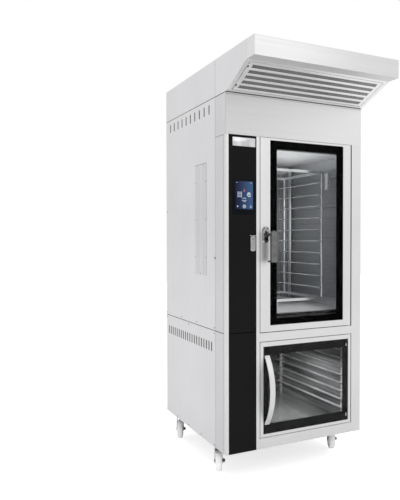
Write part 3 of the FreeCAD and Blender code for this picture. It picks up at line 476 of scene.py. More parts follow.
SIDE_STEEL = Steel("satin_steel_side", "satin_steel", (0.80, 0.79, 0.805), (0.755, 0.745, 0.76), (0.36, 0.5))
# A darker copy of the side steel: painted shade on the flank panels; the side vent strip wears it too
FLANK_STEEL = Steel("satin_steel_flank", "satin_steel", (0.72, 0.71, 0.725), (0.68, 0.67, 0.685), (0.36, 0.5))
# A darker copy of the side steel: painted shade on the back panels
SHADED_BACK_STEEL = Steel("satin_steel_back_painted_shade", "satin_steel", (0.70, 0.70, 0.705), (0.63, 0.63, 0.64), (0.36, 0.5))
FRONT_STEEL = Steel("satin_steel_front", "satin_steel", grey(0.785), (0.74, 0.74, 0.745), (0.34, 0.48))
# Painted shade: darker at the left end of the fascia and decks, lighter towards the right
CROSS_STEEL = Steel("satin_steel_cross", "satin_steel", (0.62, 0.615, 0.62), grey(0.78), (0.34, 0.48),
                    Grain.ALONG_X, painted_shade_across=(0.0, 920.0))
# Painted shade: lighter at the left end of the hood front, darker towards the right
HOOD_STEEL = Steel("satin_steel_hood", "satin_steel", grey(0.80), (0.68, 0.68, 0.685), (0.36, 0.5),
                   Grain.ALONG_X, painted_shade_across=(120.0, 700.0))
# Brighter than the other steel: painted light on the downward-facing filter frame and ribs
RIM_STEEL = Steel("filter_rim_steel", "satin_steel", grey(0.95), grey(0.90), (0.36, 0.5), Grain.ALONG_X)
# Much darker than the other steel: painted shade on the perforated filter sheet
FILTER_STEEL = Steel("filter_sheet_steel", "satin_steel", grey(0.48), grey(0.38), (0.4, 0.55), Grain.ALONG_X)
OVEN_STEEL = Steel("oven_liner_steel", "bright_steel", (0.46, 0.465, 0.48), (0.40, 0.405, 0.42), (0.26, 0.34),
                   Grain.ALONG_Y, relief=0.001, cloud=3.0, metallic=0.55)
# Dark liner whose tone is stretched into streaks along the depth: painted reflections on the prover walls
PROVER_STEEL = Steel("prover_liner_steel", "bright_steel", (0.27, 0.272, 0.275), (0.012, 0.012, 0.013),
                     (0.12, 0.22), Grain.ALONG_Y, relief=0.001, cloud=26.0, metallic=0.4,
                     painted_streak_stretch=(0.08, 0.05, 1.0))
WIRE_STEEL = Steel("bright_wire", "bright_steel", (0.88, 0.88, 0.89), (0.74, 0.74, 0.76), (0.14, 0.26),
                   Grain.ALONG_Y, relief=0.01, cloud=14.0, metallic=0.65)
RUNNER_STEEL = Steel("runner_steel", "bright_steel", (0.70, 0.70, 0.71), (0.46, 0.46, 0.48), (0.2, 0.32),
                     Grain.ALONG_Y, relief=0.01, cloud=9.0, metallic=0.5)
# Painted shade: lighter at the left of the fan baffle, darker towards the right wall
BAFFLE_STEEL = Steel("baffle_steel", "bright_steel", (0.66, 0.68, 0.73), (0.30, 0.305, 0.315), (0.2, 0.36),
                     relief=0.02, metallic=0.7, painted_shade_across=(430.0, 800.0))
MIRROR = Steel("polished_plate", "mirror_plate", (0.80, 0.80, 0.81), (0.54, 0.54, 0.56), (0.06, 0.16),
               Grain.ALONG_X, relief=0.01, cloud=20.0)
# Partly its own tone; the swing down to near-black in small blotches is painted reflection on the rosette and
# clamps
CHROME = Steel("chrome_plate", "chrome", (0.62, 0.63, 0.65), (0.10, 0.10, 0.11), (0.04, 0.12), relief=0.01,
               cloud=90.0)
DARK_CHROME = Steel("dark_chrome", "chrome", (0.10, 0.10, 0.105), (0.05, 0.05, 0.052), (0.15, 0.3),
                    Grain.ALONG_Y, relief=0.02, cloud=60.0)
ZINC = Steel("zinc_plate", "zinc", (0.80, 0.80, 0.81), (0.66, 0.66, 0.67), (0.25, 0.42), relief=0.05,
             cloud=45.0)
# Zinc darkened far below plain zinc: painted shade on the castor forks and their nuts
SHADED_FORK_ZINC = Steel("fork_zinc_painted_shade", "zinc", (0.30, 0.30, 0.31), (0.20, 0.20, 0.21), (0.25, 0.42), relief=0.05,
                  cloud=45.0)
# Dark zinc for screws and clips, and painted shade on the castor plates and in the dark line at the vent
# strip's top
DARK_ZINC_AND_SHADE = Steel("dark_zinc_and_painted_shade", "zinc", (0.25, 0.25, 0.26), (0.16, 0.16, 0.17), (0.3, 0.45), Grain.ALONG_X,
                  relief=0.05, cloud=45.0)
# Near-black pad behind the perforations: painted shade seen through the holes
FILTER_SHADE_PAD = Coating("filter_pad", "satin_steel", grey(0.03), grey(0.012), (0.6, 0.8), relief=0.6, cloud=160.0,
                   specular=0.2)
FRAME_PAINT = Coating("frame_enamel", "frame_paint", (0.30, 0.31, 0.32), (0.25, 0.26, 0.27), (0.35, 0.5))
COLUMN_BLACK = Coating("column_black", "black_glass", grey(0.0095), grey(0.0085), (0.35, 0.45), 700.0, 0.02,
                       cloud=3.0, specular=0.04)
PRINT_BLACK = Coating("printed_border", "black_glass", (0.0016, 0.0016, 0.0017), (0.0012, 0.0012, 0.0013),
                      (0.3, 0.4), 700.0, 0.01, cloud=8.0, specular=0.01)
PRINT_GREY = Coating("printed_band", "black_glass", grey(0.026), grey(0.019), (0.3, 0.4), 700.0, 0.01,
                     cloud=8.0, specular=0.02)
BEZEL_BLACK = Coating("bezel_navy", "screen", (0.0022, 0.0028, 0.0055), (0.0018, 0.0022, 0.0040), (0.1, 0.2),
                      relief=0.01, cloud=20.0, specular=0.08)
GRIP_GREY = Coating("grip_lacquer", "grey_lever", (0.15, 0.15, 0.148), (0.10, 0.10, 0.098), (0.3, 0.45),
                    1400.0, 0.1, cloud=40.0, specular=0.4, coat=0.15)
FLAP_GREY = Coating("flap_grey", "grey_lever", grey(0.36), grey(0.28), (0.35, 0.5), 1400.0, 0.1, cloud=40.0)
SLIT_DARK = Coating("slit_dark", "grey_lever", grey(0.035), grey(0.02), (0.5, 0.6))
NYLON = Coating("white_nylon", "white_wheel", (0.95, 0.95, 0.94), (0.88, 0.88, 0.87), (0.35, 0.5),
                relief=0.06, cloud=30.0)
BRAKE_PLASTIC = Coating("brake_plastic", "silicone", (0.30, 0.30, 0.31), (0.22, 0.22, 0.23), (0.4, 0.55),
                        1200.0, 0.15, cloud=50.0)
# Black silicone for gaskets, gland and heater, and painted shade in the panel seams and vent slots
BLACK_RUBBER_AND_SHADE = Coating("black_silicone_and_painted_shade", "silicone", (0.035, 0.035, 0.037), (0.02, 0.02, 0.022), (0.5, 0.7), 600.0,
                 0.2)
WOOL = Coating("mineral_wool", "wool", (0.60, 0.54, 0.38), (0.42, 0.37, 0.24), (0.85, 0.95), 420.0, 0.9,
               cloud=60.0, specular=0.2)
MOTOR = Coating("motor_enamel", "motor_paint", (0.20, 0.22, 0.24), (0.15, 0.165, 0.18), (0.35, 0.5))
BOARD = Coating("switchgear", "board", (0.10, 0.30, 0.15), (0.06, 0.20, 0.10), (0.3, 0.5), 500.0, 0.2,
                cloud=40.0)
OPAL = Coating("lamp_cover", "clear_glass", (0.93, 0.93, 0.92), (0.84, 0.84, 0.83), (0.15, 0.25), 300.0, 0.1,
               cloud=30.0)
CLEAR = Pane("clear_pane", "clear_glass", (0.98, 0.985, 0.98), (0.955, 0.965, 0.96), 1.07)
LIT_ACROSS: Span = (60.0, 168.0)
SCREEN_GLOW = Lit("screen_glow", "screen", (0.002, 0.004, 0.030), (0.035, 0.085, 0.19), LIT_ACROSS)
MARK_GLOW = Lit("mark_glow", "screen", (0.45, 0.52, 0.62), (0.55, 0.62, 0.70), LIT_ACROSS)
WARM_GLOW = Lit("warm_glow", "screen", (0.30, 0.10, 0.13), (0.22, 0.12, 0.16), LIT_ACROSS)
FLOOR_PAINT = Coating("studio_floor_paint", "white_wheel", grey(0.92), grey(0.90), (0.85, 0.95), 40.0, 0.0,
                      cloud=0.4, specular=0.1)


# Mesh making


def plain(point: Vector) -> Vector:
    """Leave a cabinet place as it is."""
    return point


def upright(x: float, z: float) -> Put:
    """Give the placing of an outline that stands in the front plane about a centre."""
    return lambda a, b, depth: Vector((x + a, depth, z + b))


def arc(radius: float, start: float, end: float, steps: int, centre: Point = (0.0, 0.0)) -> List[Point]:
    """Give evenly spread points on part of a circle, between two angles in degrees."""
    turns = [math.radians(start + (end - start) * step / steps) for step in range(steps + 1)]
    return [(centre[0] + radius * math.cos(turn), centre[1] + radius * math.sin(turn)) for turn in turns]


def circle(centre: Vector, side: Vector, other: Vector, radius: float, steps: int) -> List[Vector]:
    """Give a ring of points about a centre, in the plane of two unit vectors."""
    turns = [2 * math.pi * step / steps for step in range(steps)]
    return [centre + (side * math.cos(turn) + other * math.sin(turn)) * radius for turn in turns]


def rounded_outline(width: float, height: float, radius: float, steps: int = 5) -> List[Point]:
    """Give the outline of a rectangle with round corners about the origin.

    Args:
        width: Whole width.
        height: Whole height.
        radius: Corner radius.
        steps: Points on each corner less one.

    Returns:
        Points in order, anticlockwise from the right.
    """
    points = []
    for a, b, start in ((1, 1, 0), (-1, 1, 90), (-1, -1, 180), (1, -1, 270)):
        centre = (a * (width / 2 - radius), b * (height / 2 - radius))
        points += arc(radius, start, start + 90, steps, centre)
    return points


def drawn_in(outline: Outline, inset: float) -> List[Point]:
    """Move an anticlockwise outline inwards.

    Args:
        outline: The outline's points.
        inset: How far its sides move.

    Returns:
        The moved points.
    """
    count, least = len(outline), 1e-6
    moved = []
    for i, point in enumerate(outline):
        before, here, after = Vector(outline[i - 1]), Vector(point), Vector(outline[(i + 1) % count])
        back, ahead = here - before, after - here
        first = (back if back.length > least else ahead).normalized()
        second = ahead.normalized() if ahead.length > least else first
        normal = Vector((-(first.y + second.y), first.x + second.x))
        length = normal.length
        if length > least:
            normal /= length
            here = here + normal * inset / max(0.5, normal.dot(Vector((-first.y, first.x))))
        moved.append((here.x, here.y))
    return moved


class Form:
    """A mesh in the making, in cabinet millimetres or in a piece's own millimetres."""

    def __init__(self, name: str, place: Place = plain) -> None:
        """Start an empty mesh.

        Args:
            name: The piece's name.
            place: Turns the piece's own places into cabinet places.
        """
        self.name = name
        self.place = place
        self.mesh = bmesh.new()

    def block(self, x: Span, y: Span, z: Span, edge: float = 0.0, steps: int = 2) -> "Form":
        """Add a box with rounded edges.

        Args:
            x: Its limits across.
            y: Its limits in depth.
            z: Its limits in height.
            edge: Radius of its edges, or zero for sharp ones.
            steps: Facets on each edge.

        Returns:
            The form itself.
        """
        made = bmesh.ops.create_cube(self.mesh, size=1.0)["verts"]
        for vertex in made:
            vertex.co = Vector([sum(span) / 2 + share * (span[1] - span[0])
                                for span, share in zip((x, y, z), vertex.co)])
        if edge:
            edges = list({e for v in made for e in v.link_edges})
            bmesh.ops.bevel(self.mesh, geom=edges, offset=edge, segments=steps, profile=0.5, affect="EDGES")
        return self

    def loft(self, rings: Sequence[Sequence[Vector]], closed: bool = False) -> "Form":
        """Join rings of equal count into a skin.

        Args:
            rings: The rings in order.
            closed: Whether the last ring joins the first; if not, both ends get caps.

        Returns:
            The form itself.
        """
        loops = [[self.mesh.verts.new(p) for p in ring] for ring in rings]
        pairs = list(zip(loops, loops[1:])) + ([(loops[-1], loops[0])] if closed else [])
        count = len(loops[0])
        for a, b in pairs:
            for i in range(count):
                j = (i + 1) % count
                self.mesh.faces.new((a[i], a[j], b[j], b[i]))
        if not closed:
            self.mesh.faces.new(list(reversed(loops[0])))
            self.mesh.faces.new(loops[-1])
        return self

    def turned(self, centre: Vector, axis: Vector, profile: Outline, steps: int = 28,
               closed: bool = False) -> "Form":
        """Add a turned body.

        Args:
            centre: Where the axis starts.
            axis: Unit vector along the axis.
            profile: Pairs of place along the axis and radius.
            steps: Facets round the axis.
            closed: Whether the profile closes on itself round a bore.

        Returns:
            The form itself.
        """
        side = axis.orthogonal().normalized()
        other = axis.cross(side)
        return self.loft([circle(centre + axis * along, side, other, radius, steps)
                          for along, radius in profile], closed)

    def tube(self, points: Sequence[Vector], radius: float, steps: int = 8) -> "Form":
        """Add a round wire along a line of points.

        Args:
            points: The wire's middle line.
            radius: The wire's radius.
            steps: Facets round it.

        Returns:
            The form itself.
        """
        rings = []
        normal = (points[1] - points[0]).orthogonal().normalized()
        for i, point in enumerate(points):
            ahead = points[min(i + 1, len(points) - 1)] - points[max(i - 1, 0)]
            ahead.normalize()
            normal = (normal - ahead * normal.dot(ahead)).normalized()
            rings.append(circle(point, normal, ahead.cross(normal), radius, steps))
        return self.loft(rings)

    def prism(self, outline: Outline, put: Put, low: float, high: float, edge: float = 0.5,
              steps: int = 2) -> "Form":
        """Add a plate of any outline with rounded rims.

        Args:
            outline: Anticlockwise outline points.
            put: Turns outline coordinates and a depth into a place.
            low: Depth of the first face.
            high: Depth of the second face.
            edge: Rim radius.
            steps: Rings on each rim.

        Returns:
            The form itself.
        """
        way = 1 if high > low else -1
        levels = []
        for step in range(steps, -1, -1):
            angle = math.pi / 2 * step / steps
            levels.append((low + way * edge * (1 - math.sin(angle)), edge * (1 - math.cos(angle))))
        levels += [(high + low - depth, inset) for depth, inset in reversed(levels)]
        rings = [[put(a, b, depth) for a, b in (drawn_in(outline, inset) if inset else outline)]
                 for depth, inset in levels]
        return self.loft(rings)

    def plaque(self, x: Span, z: Span, radius: float, low: float, high: float, edge: float = 0.5) -> "Form":
        """Add a plate with round corners in the front plane."""
        outline = rounded_outline(x[1] - x[0], z[1] - z[0], radius)
        return self.prism(outline, upright(sum(x) / 2, sum(z) / 2), low, high, edge)

    def border(self, outer: Tuple[Span, Span], inner: Tuple[Span, Span], depth: Span) -> "Form":
        """Add a printed border as a thin frame behind a pane.

        Args:
            outer: Outside limits across and in height.
            inner: Limits of the clear window across and in height.
            depth: Front and back of the print.

        Returns:
            The form itself.
        """
        rings = []
        for (x, z), y in ((outer, depth[0]), (inner, depth[0]), (inner, depth[1]), (outer, depth[1])):
            put = upright(sum(x) / 2, sum(z) / 2)
            rings.append([put(a, b, y) for a, b in rounded_outline(x[1] - x[0], z[1] - z[0], 4.0, 4)])
        return self.loft(rings, True)

    def perforated(self, corner: Vector, columns: int, rows: int, pitch: Span, hole: float, thick: float,
                   stagger: bool) -> "Form":
        """Add a sheet full of round holes in the plane of the first two axes.

        Args:
            corner: Lowest corner of the sheet.
            columns: Holes in a row.
            rows: Rows of holes.
            pitch: Distance between holes along and across.
            hole: Hole radius.
            thick: Sheet thickness along the third axis.
            stagger: Whether every second row is moved by half a pitch.

        Returns:
            The form itself.
        """
        half = (pitch[0] / 2, pitch[1] / 2)
        rim = [(1, 0), (1, 1), (0, 1), (-1, 1), (-1, 0), (-1, -1), (0, -1), (1, -1)]
        count = len(rim)
        faces, known = [], {}

        def spot(x: float, y: float) -> bmesh.types.BMVert:
            """Give the vertex at a place of the sheet, made once.

            Args:
                x: Place along the rows.
                y: Place across them.

            Returns:
                The vertex.
            """
            key = (round(x, 3), round(y, 3))
            if key not in known:
                known[key] = self.mesh.verts.new(corner + Vector((x, y, 0)))
            return known[key]

        for row in range(rows):
            shift = half[0] if stagger and row % 2 else 0.0
            for column in range(columns - (1 if shift else 0)):
                x, y = half[0] + column * pitch[0] + shift, half[1] + row * pitch[1]
                outer = [spot(x + a * half[0], y + b * half[1]) for a, b in rim]
                inner = [spot(*point) for point in arc(hole, 0, 360 - 360 / count, count - 1, (x, y))]
                for k in range(count):
                    n = (k + 1) % count
                    faces.append(self.mesh.faces.new((outer[k], outer[n], inner[n], inner[k])))
            if shift:
                low, middle, high = (row * pitch[1] + half[1] * step for step in range(3))
                for left, right in ((0.0, half[0]), (columns * pitch[0] - half[0], columns * pitch[0])):
                    places = ((left, low), (right, low), (right, middle), (right, high), (left, high),
                              (left, middle))
                    faces.append(self.mesh.faces.new([spot(*place) for place in places]))
        grown = bmesh.ops.extrude_face_region(self.mesh, geom=faces, use_keep_orig=True)["geom"]
        bmesh.ops.translate(self.mesh, vec=(0, 0, thick),
                            verts=[g for g in grown if isinstance(g, bmesh.types.BMVert)])
        return self

    def made(self, finish: Finish, body: str, stands_for: Iterable[str] = (),
             smooth: float = 35.0) -> bpy.types.Object:
        """Turn the form into a piece that rides on a body.

        Args:
            finish: The finish it wears.
            body: The body it moves with.
            stands_for: CAD nodes that it replaces.
            smooth: Edges sharper than this many degrees stay sharp.

        Returns:
            The new object.
        """
        bmesh.ops.recalc_face_normals(self.mesh, faces=self.mesh.faces)
        for vertex in self.mesh.verts:
            vertex.co = at(*self.place(vertex.co))
        data = bpy.data.meshes.new(self.name)
        self.mesh.to_mesh(data)
        self.mesh.free()
        for polygon in data.polygons:
            polygon.use_smooth = True
        data.set_sharp_from_angle(angle=math.radians(smooth))
        data.materials.append(finish.material())
        piece = bpy.data.objects.new(self.name, data)
        bpy.context.scene.collection.objects.link(piece)
        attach(piece, body)
        names = tuple(stands_for)
        if names:
            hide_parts(*names)
        LOG.info("%s: %d faces on %s", self.name, len(data.polygons), body)
        return piece


def dress(node: str, finish: Finish, edge: float = 0.0) -> None:
    """Give a carried-over node its finish and, where its form is plain, softened edges.

    Args:
        node: The node's name.
        finish: The finish it wears.
        edge: Width of the softened edges in millimetres, or zero for none.
    """
    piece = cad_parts[node]
    for holder in piece.material_slots:
        holder.material = finish.material()
    if edge:
        weld = piece.modifiers.new("joined_corners", "WELD")
        weld.merge_threshold = 0.00001
        bevel = piece.modifiers.new("softened_edges", "BEVEL")
        bevel.width = edge * MILLIMETRE
        bevel.segments = 2
        bevel.limit_method = "ANGLE"
        bevel.angle_limit = math.radians(40)
        bevel.harden_normals = True
    LOG.info("%s dressed in %s", node, finish.name)


# Sub-assemblies


SCREW_SHARES: Outline = ((0.0, 1.0), (0.45, 1.0), (0.85, 0.72), (1.0, 0.42), (0.95, 0.3), (0.4, 0.24))
STUD: Outline = ((0, 6.5), (0.8, 6.3), (1.3, 4.5), (1.45, 2.0))


@dataclass
class Cabinet:
    """The steel carcass with its front frame, side panels and screws."""

    width: float = 920.0
    depth: float = 980.0
    split: float = 670.0
    seam: float = 1995.0
    flank: float = 140.0
    post: float = 27.0
    gap: float = 2.0
    line: float = 1.0
    edge: float = 14.0
    head: float = 4.5
    proud: float = 1.5
    sunk: Span = (0.4, 1.4)
    upright_seam: float = 0.9
    level_seam: float = 1.8
    fascia_seam: Span = (0.6, 2.0)
    fascia_rise: float = 0.2
    screw_counts: Tuple[int, int, int] = (4, 3, 5)
    rear_shares: Triple = (0.25, 0.5, 0.75)
    slot_shade: Triple = (12.6, 55.6, 6.2)
    slot_shade_depth: Span = (-0.35, 1.2)
    slots: Tuple[Tuple[float, float, int, float], ...] = ((227.0, 74.0, 10, 1939.5), (195.0, 38.5, 20, 572.5))
    strip_front: float = 269.0
    strip_width: float = 177.0
    strip_low: float = 979.0
    strip_pitch: float = 20.6
    strip_rows: int = 32
    strip_inset: float = 40.0
    strip_hole: float = 4.5
    strip_sheet: Span = (0.25, 1.0)
    strip_shadow: Span = (-0.5, 2.5)
    strip_shadow_out: Span = (0.1, 1.2)
    strip_foot_screw: float = 8.0
    strip_screw_inset: float = 7.0
    strip_screw_shares: Triple = (0.16, 0.5, 0.84)
    rear_screw: float = 1381.0
    stud: Span = (144.0, 1085.0)

    def build(self) -> None:
        """Dress the panels and build screws and the perforated strip."""
        for node in ("base_side_panels", "oven_side_panels"):
            dress(node, SIDE_STEEL)
        dress("back_panels", SHADED_BACK_STEEL, 0.6)
        dress("flank_panels", FLANK_STEEL, 0.6)
        dress("front_frame", FRONT_STEEL, 1.2)
        dress("fascia", CROSS_STEEL, 0.8)
        dress("module_decks", CROSS_STEEL, 0.8)
        dress("base_frame", FRAME_PAINT, 2.0)
        dress("hinge_pins", ZINC, 0.3)
        self.screws()
        self.strip()
        self.seams()

    def head_at(self, form: Form, x: float, y: float, z: float, way: Vector) -> None:
        """Add one domed screw head with a drive recess, facing the given way."""
        dome = [(self.proud * along, self.head * radius) for along, radius in SCREW_SHARES]
        form.turned(Vector((x, y, z)), way, dome, 16)

    def screws(self) -> None:
        """Build the panel screws of both sides and of the back."""
        above, below = self.split + self.gap + self.edge, self.split - self.gap - self.edge
        form = Form("panel_screw_heads")
        span = self.depth - self.flank - 2 * self.edge
        for level, count in zip((above, below, self.edge), self.screw_counts):
            for number in range(count):
                y = self.flank + self.edge + span * number / (count - 1)
                self.head_at(form, 0, y, level, -ACROSS)
                self.head_at(form, self.width, y, level, ACROSS)
        form.made(DARK_ZINC_AND_SHADE, "cabinet", ("panel_screws",))
        rear = Form("back_screw_heads")
        left, right = self.edge, self.width - self.edge
        for x in (left, self.width / 3, 2 * self.width / 3, right):
            for level in (self.edge, below, above, self.seam - self.gap - self.edge):
                self.head_at(rear, x, self.depth, level, BACKWARD)
        for x in (left, right):
            for share in self.rear_shares:
                self.head_at(rear, x, self.depth, self.split + (self.seam - self.split) * share, BACKWARD)
        rear.made(DARK_ZINC_AND_SHADE, "cabinet")

    def seams(self) -> None:
        """Fill the seams between the panels with dark strips and the slots with dark inserts: painted shade
        in the gaps.
        """
        # Dark strips in the panel seams: painted shade in the gaps
        form = Form("seam_shade_strips")
        for side in (self.sunk, (self.width - self.sunk[1], self.width - self.sunk[0])):
            for y in (self.post, self.flank - self.line):
                form.block(side, (y - self.upright_seam, y + self.upright_seam),
                           (self.line, self.seam - self.gap - self.line))
            for z, start in ((self.split, self.post + self.gap), (self.seam, self.line)):
                form.block(side, (start, self.depth - self.gap), (z - self.level_seam, z + self.level_seam))
        form.block((self.gap, self.width - self.gap), self.fascia_seam,
                   (self.seam + self.fascia_rise, self.seam + self.level_seam))
        form.made(BLACK_RUBBER_AND_SHADE, "cabinet")
        # Dark inserts filling the vent slots: painted shade inside them
        slot_shade = Form("slot_shade_inserts")
        outline = rounded_outline(*self.slot_shade, 4)
        out, inside = self.slot_shade_depth
        for first, pitch, count, middle in self.slots:
            for number in range(count):
                y = first + pitch * number
                for low, high in ((out, inside), (self.width - inside, self.width - out)):
                    slot_shade.prism(outline, lambda a, b, depth: Vector((depth, y + a, middle + b)), low, high,
                                0.1, 1)
        slot_shade.made(BLACK_RUBBER_AND_SHADE, "cabinet")

    def strip(self) -> None:
        """Build the perforated strip of the left side with its fixing screws."""

        def on_side(point: Vector) -> Vector:
            """Lay the strip's own plane on the left side panel."""
            return Vector((-point.z, self.strip_front + point.x, self.strip_low + point.y))

        tall = self.strip_pitch * self.strip_rows
        wide = (self.strip_width - 2 * self.strip_inset) / 2
        first, second = self.strip_inset - wide / 2, self.strip_width - self.strip_inset - wide / 2
        low, high = self.strip_sheet
        form = Form("side_vent_strip", on_side)
        for span in ((0.0, first), (first + wide, second), (second + wide, self.strip_width)):
            form.block(span, (0, tall), self.strip_sheet, 0.2)
        for left in (first, second):
            form.perforated(Vector((left, 0, low)), 1, self.strip_rows, (wide, self.strip_pitch),
                            self.strip_hole, high - low, False)
        form.made(FLANK_STEEL, "cabinet", ("side_vent_grille",))
        # A thin dark block along the strip's top edge: painted shadow
        shadow_line = Form("strip_top_shadow", on_side)
        low, high = self.strip_shadow
        shadow_line.block((0, self.strip_width), (tall + low, tall + high), self.strip_shadow_out, 0.4)
        shadow_line.made(DARK_ZINC_AND_SHADE, "cabinet")
        heads = Form("strip_screw_heads")
        back = self.strip_front + self.strip_width
        for y in (self.strip_front + self.strip_screw_inset, back - self.strip_screw_inset):
            for share in self.strip_screw_shares:
                self.head_at(heads, 0, y, self.strip_low + tall * share, -ACROSS)
        self.head_at(heads, 0, (self.strip_front + back) / 2, self.strip_low + self.strip_foot_screw, -ACROSS)
        self.head_at(heads, 0, self.depth - self.edge, self.rear_screw, -ACROSS)
        heads.turned(Vector((0, *self.stud)), -ACROSS, STUD, 18)
        heads.made(DARK_CHROME, "cabinet")


@dataclass
class ControlColumn:
    """The black column with its touch screen, blank plate and hinged flap."""

    screen_x: Span = (42.0, 186.0)
    screen_z: Span = (1329.0, 1525.0)
    screen_back: float = 22.0
    lit_x: Span = LIT_ACROSS
    lit_z: Span = (1359.0, 1513.0)
    screen_round: float = 5.0
    lit_round: float = 2.0
    lit_depth: Span = (0.4, -0.1)
    face: float = -0.7
    mark: float = 0.2
    fine: float = 0.05
    ring_half: float = 0.15
    ring_steps: int = 24
    bars: Tuple[Tuple[float, float, float, float, float], ...] = (
        (63.5, 68.5, 1503.5, 1506, 0.8), (71.5, 74.5, 1503.5, 1506, 0.8), (150, 154, 1503.5, 1506, 0.8),
        (155, 161, 1503.5, 1506, 0.8), (75, 97, 1426, 1429.4, 1.0), (75, 97, 1434, 1437.4, 1.0),
        (75, 97, 1442, 1445.4, 1.0), (75, 97, 1450, 1453.4, 1.0), (73, 76, 1422, 1456, 1.0),
        (96, 99, 1422, 1456, 1.0), (99, 129, 1405, 1408, 1.0), (106, 122, 1399, 1401.5, 1.0),
        (149, 160, 1369, 1373, 1.0), (152, 157, 1375, 1380, 1.0))
    rings: Tuple[Tuple[float, float, float, float, float, float], ...] = (
        (144, 1440, 10.5, 5.5, 60, 330), (146, 1444, 5.0, 5.0, 0, 360), (114, 1410, 11, 3.2, 20, 160),
        (114, 1374, 8.0, 4.0, 0, 360), (114, 1374, 3.0, 2.5, 0, 360))
    arrow: Outline = ((6, 0), (-4.5, 6.5), (-4.5, -6.5))
    arrow_at: Point = (74.0, 1374.0)
    flame: Outline = ((0, 9), (-5, 2), (-6.5, -4), (-3.5, -8.5), (3.5, -8.5), (6.5, -4), (5, 2))
    flame_at: Point = (114.0, 1463.0)
    plate_x: Span = (42.0, 183.0)
    plate_z: Span = (1706.0, 1754.0)
    plate_rim: float = 2.5
    plate_y: Span = (0.0, -1.0)
    plate_field_y: Span = (-0.8, -1.5)
    flap_x: Span = (152.0, 184.0)
    flap_z: Span = (1125.0, 1212.0)
    flap_y: Span = (-5.0, -1.0)
    flap_round: float = 9.0
    flap_head: float = 3.0
    knuckle: float = 2.45
    web_y: Span = (-4.4, -1.6)
    web: float = 5.0
    slit_z: Span = (1191.0, 1195.0)
    slit_half: float = 8.0
    slit_depth: Span = (1.0, -0.08)

    def build(self) -> None:
        """Dress the column and build the screen, plate and flap."""
        dress("control_glass", COLUMN_BLACK, 0.6)
        dress("lower_column_panel", COLUMN_BLACK, 0.6)
        dress("control_electronics", BOARD)
        self.screen()
        self.plate()
        self.flap()

    def screen(self) -> None:
        """Build the bezel, the lit face and its plain marks."""
        bezel = Form("screen_bezel")
        bezel.plaque(self.screen_x, self.screen_z, self.screen_round, self.screen_back, self.face)
        bezel.made(BEZEL_BLACK, "cabinet", ("display_unit",))
        lit = Form("screen_face")
        back, front = (self.face + depth for depth in self.lit_depth)
        lit.plaque(self.lit_x, self.lit_z, self.lit_round, back, front, self.fine)
        lit.made(SCREEN_GLOW, "cabinet")
        marks = Form("screen_marks")
        self.marks(marks)
        marks.made(MARK_GLOW, "cabinet")
        warm = Form("screen_warm_mark")
        low, high = self.face + self.mark, self.face - self.mark
        warm.prism(self.flame, upright(*self.flame_at), low, high, self.fine, 1).made(WARM_GLOW, "cabinet")

    def ring(self, form: Form, x: float, z: float, radius: float, width: float, turn: Span) -> None:
        """Add a ring or an arc mark in the front plane.

        Args:
            form: The form that takes it.
            x: Its centre across.
            z: Its centre in height.
            radius: Radius of its middle line.
            width: Its line's width.
            turn: Angles in degrees at which it starts and ends.
        """
        lift = Vector((0, self.ring_half, 0))
        deep = self.face + self.lit_depth[1]
        points = [Vector((a, deep, b)) for a, b in arc(radius, *turn, self.ring_steps, (x, z))]
        for a, b in zip(points, points[1:]):
            way = (b - a).normalized()
            side = Vector((-way.z, 0, way.x)) * width / 2
            form.loft([[p - side - lift, p + side - lift, p + side + lift, p - side + lift] for p in (a, b)])

    def marks(self, form: Form) -> None:
        """Add the plain marks of a generic start page: status dashes, a rack, a drop and buttons.

        Args:
            form: The form that takes them.
        """
        low, high = self.face + self.mark, self.face - self.mark
        for left, right, foot, top, radius in self.bars:
            form.plaque((left, right), (foot, top), radius, low, high, self.fine)
        for x, z, radius, width, start, end in self.rings:
            self.ring(form, x, z, radius, width, (start, end))
        form.prism(self.arrow, upright(*self.arrow_at), low, high, self.fine, 1)

    def plate(self) -> None:
        """Build the blank polished plate with its rolled rim."""
        form = Form("blank_plate")
        rim = self.plate_rim
        form.plaque(self.plate_x, self.plate_z, rim, *self.plate_y, 0.4)
        form.plaque((self.plate_x[0] + rim, self.plate_x[1] - rim),
                    (self.plate_z[0] + rim, self.plate_z[1] - rim), 1.5, *self.plate_field_y, 0.45)
        form.made(MIRROR, "cabinet", ("name_plate",))

    def flap(self) -> None:
        """Build the rounded flap with its slit and knuckle."""
        leaf = Form("flap_leaf")
        top = self.flap_z[1]
        left, right = self.flap_x[0] + self.flap_round, self.flap_x[1] - self.flap_round
        back, front = reversed(self.flap_y)
        leaf.plaque(self.flap_x, (self.flap_z[0], top - self.flap_head), self.flap_round, back, front, 1.8)
        barrel = ((0, self.knuckle), (right - left, self.knuckle))
        leaf.turned(Vector((left, sum(self.flap_y) / 2, top)), ACROSS, barrel, 16)
        leaf.block((left, right), self.web_y, (top - self.web, top), 0.3)
        leaf.made(FLAP_GREY, "service_flap", ("service_flap",))
        # A dark plate on the flap's face: painted shade standing for the slit
        slit = Form("flap_slit")
        middle = sum(self.flap_x) / 2
        back, front = (self.flap_y[0] + depth for depth in self.slit_depth)
        across = (middle - self.slit_half, middle + self.slit_half)
        slit.plaque(across, self.slit_z, 1.8, back, front, self.fine)
        slit.made(SLIT_DARK, "service_flap")


SPIGOT: Outline = ((0, 73.5), (0, 92), (1.8, 92), (2.4, 90), (2.6, 78), (4.5, 75.2), (26, 75), (28, 76.6),
                   (30, 77), (32, 76.6), (34, 75), (44, 75), (45.4, 74.8), (46, 74.3), (45.6, 73.6),
                   (44, 73.5))
RIVET: Outline = ((0, 3.4), (0.9, 3.2), (1.6, 2.0), (1.8, 0.8))
CLIP_PIN: Outline = ((0, 2.6), (0.8, 2.6), (1.4, 1.6))


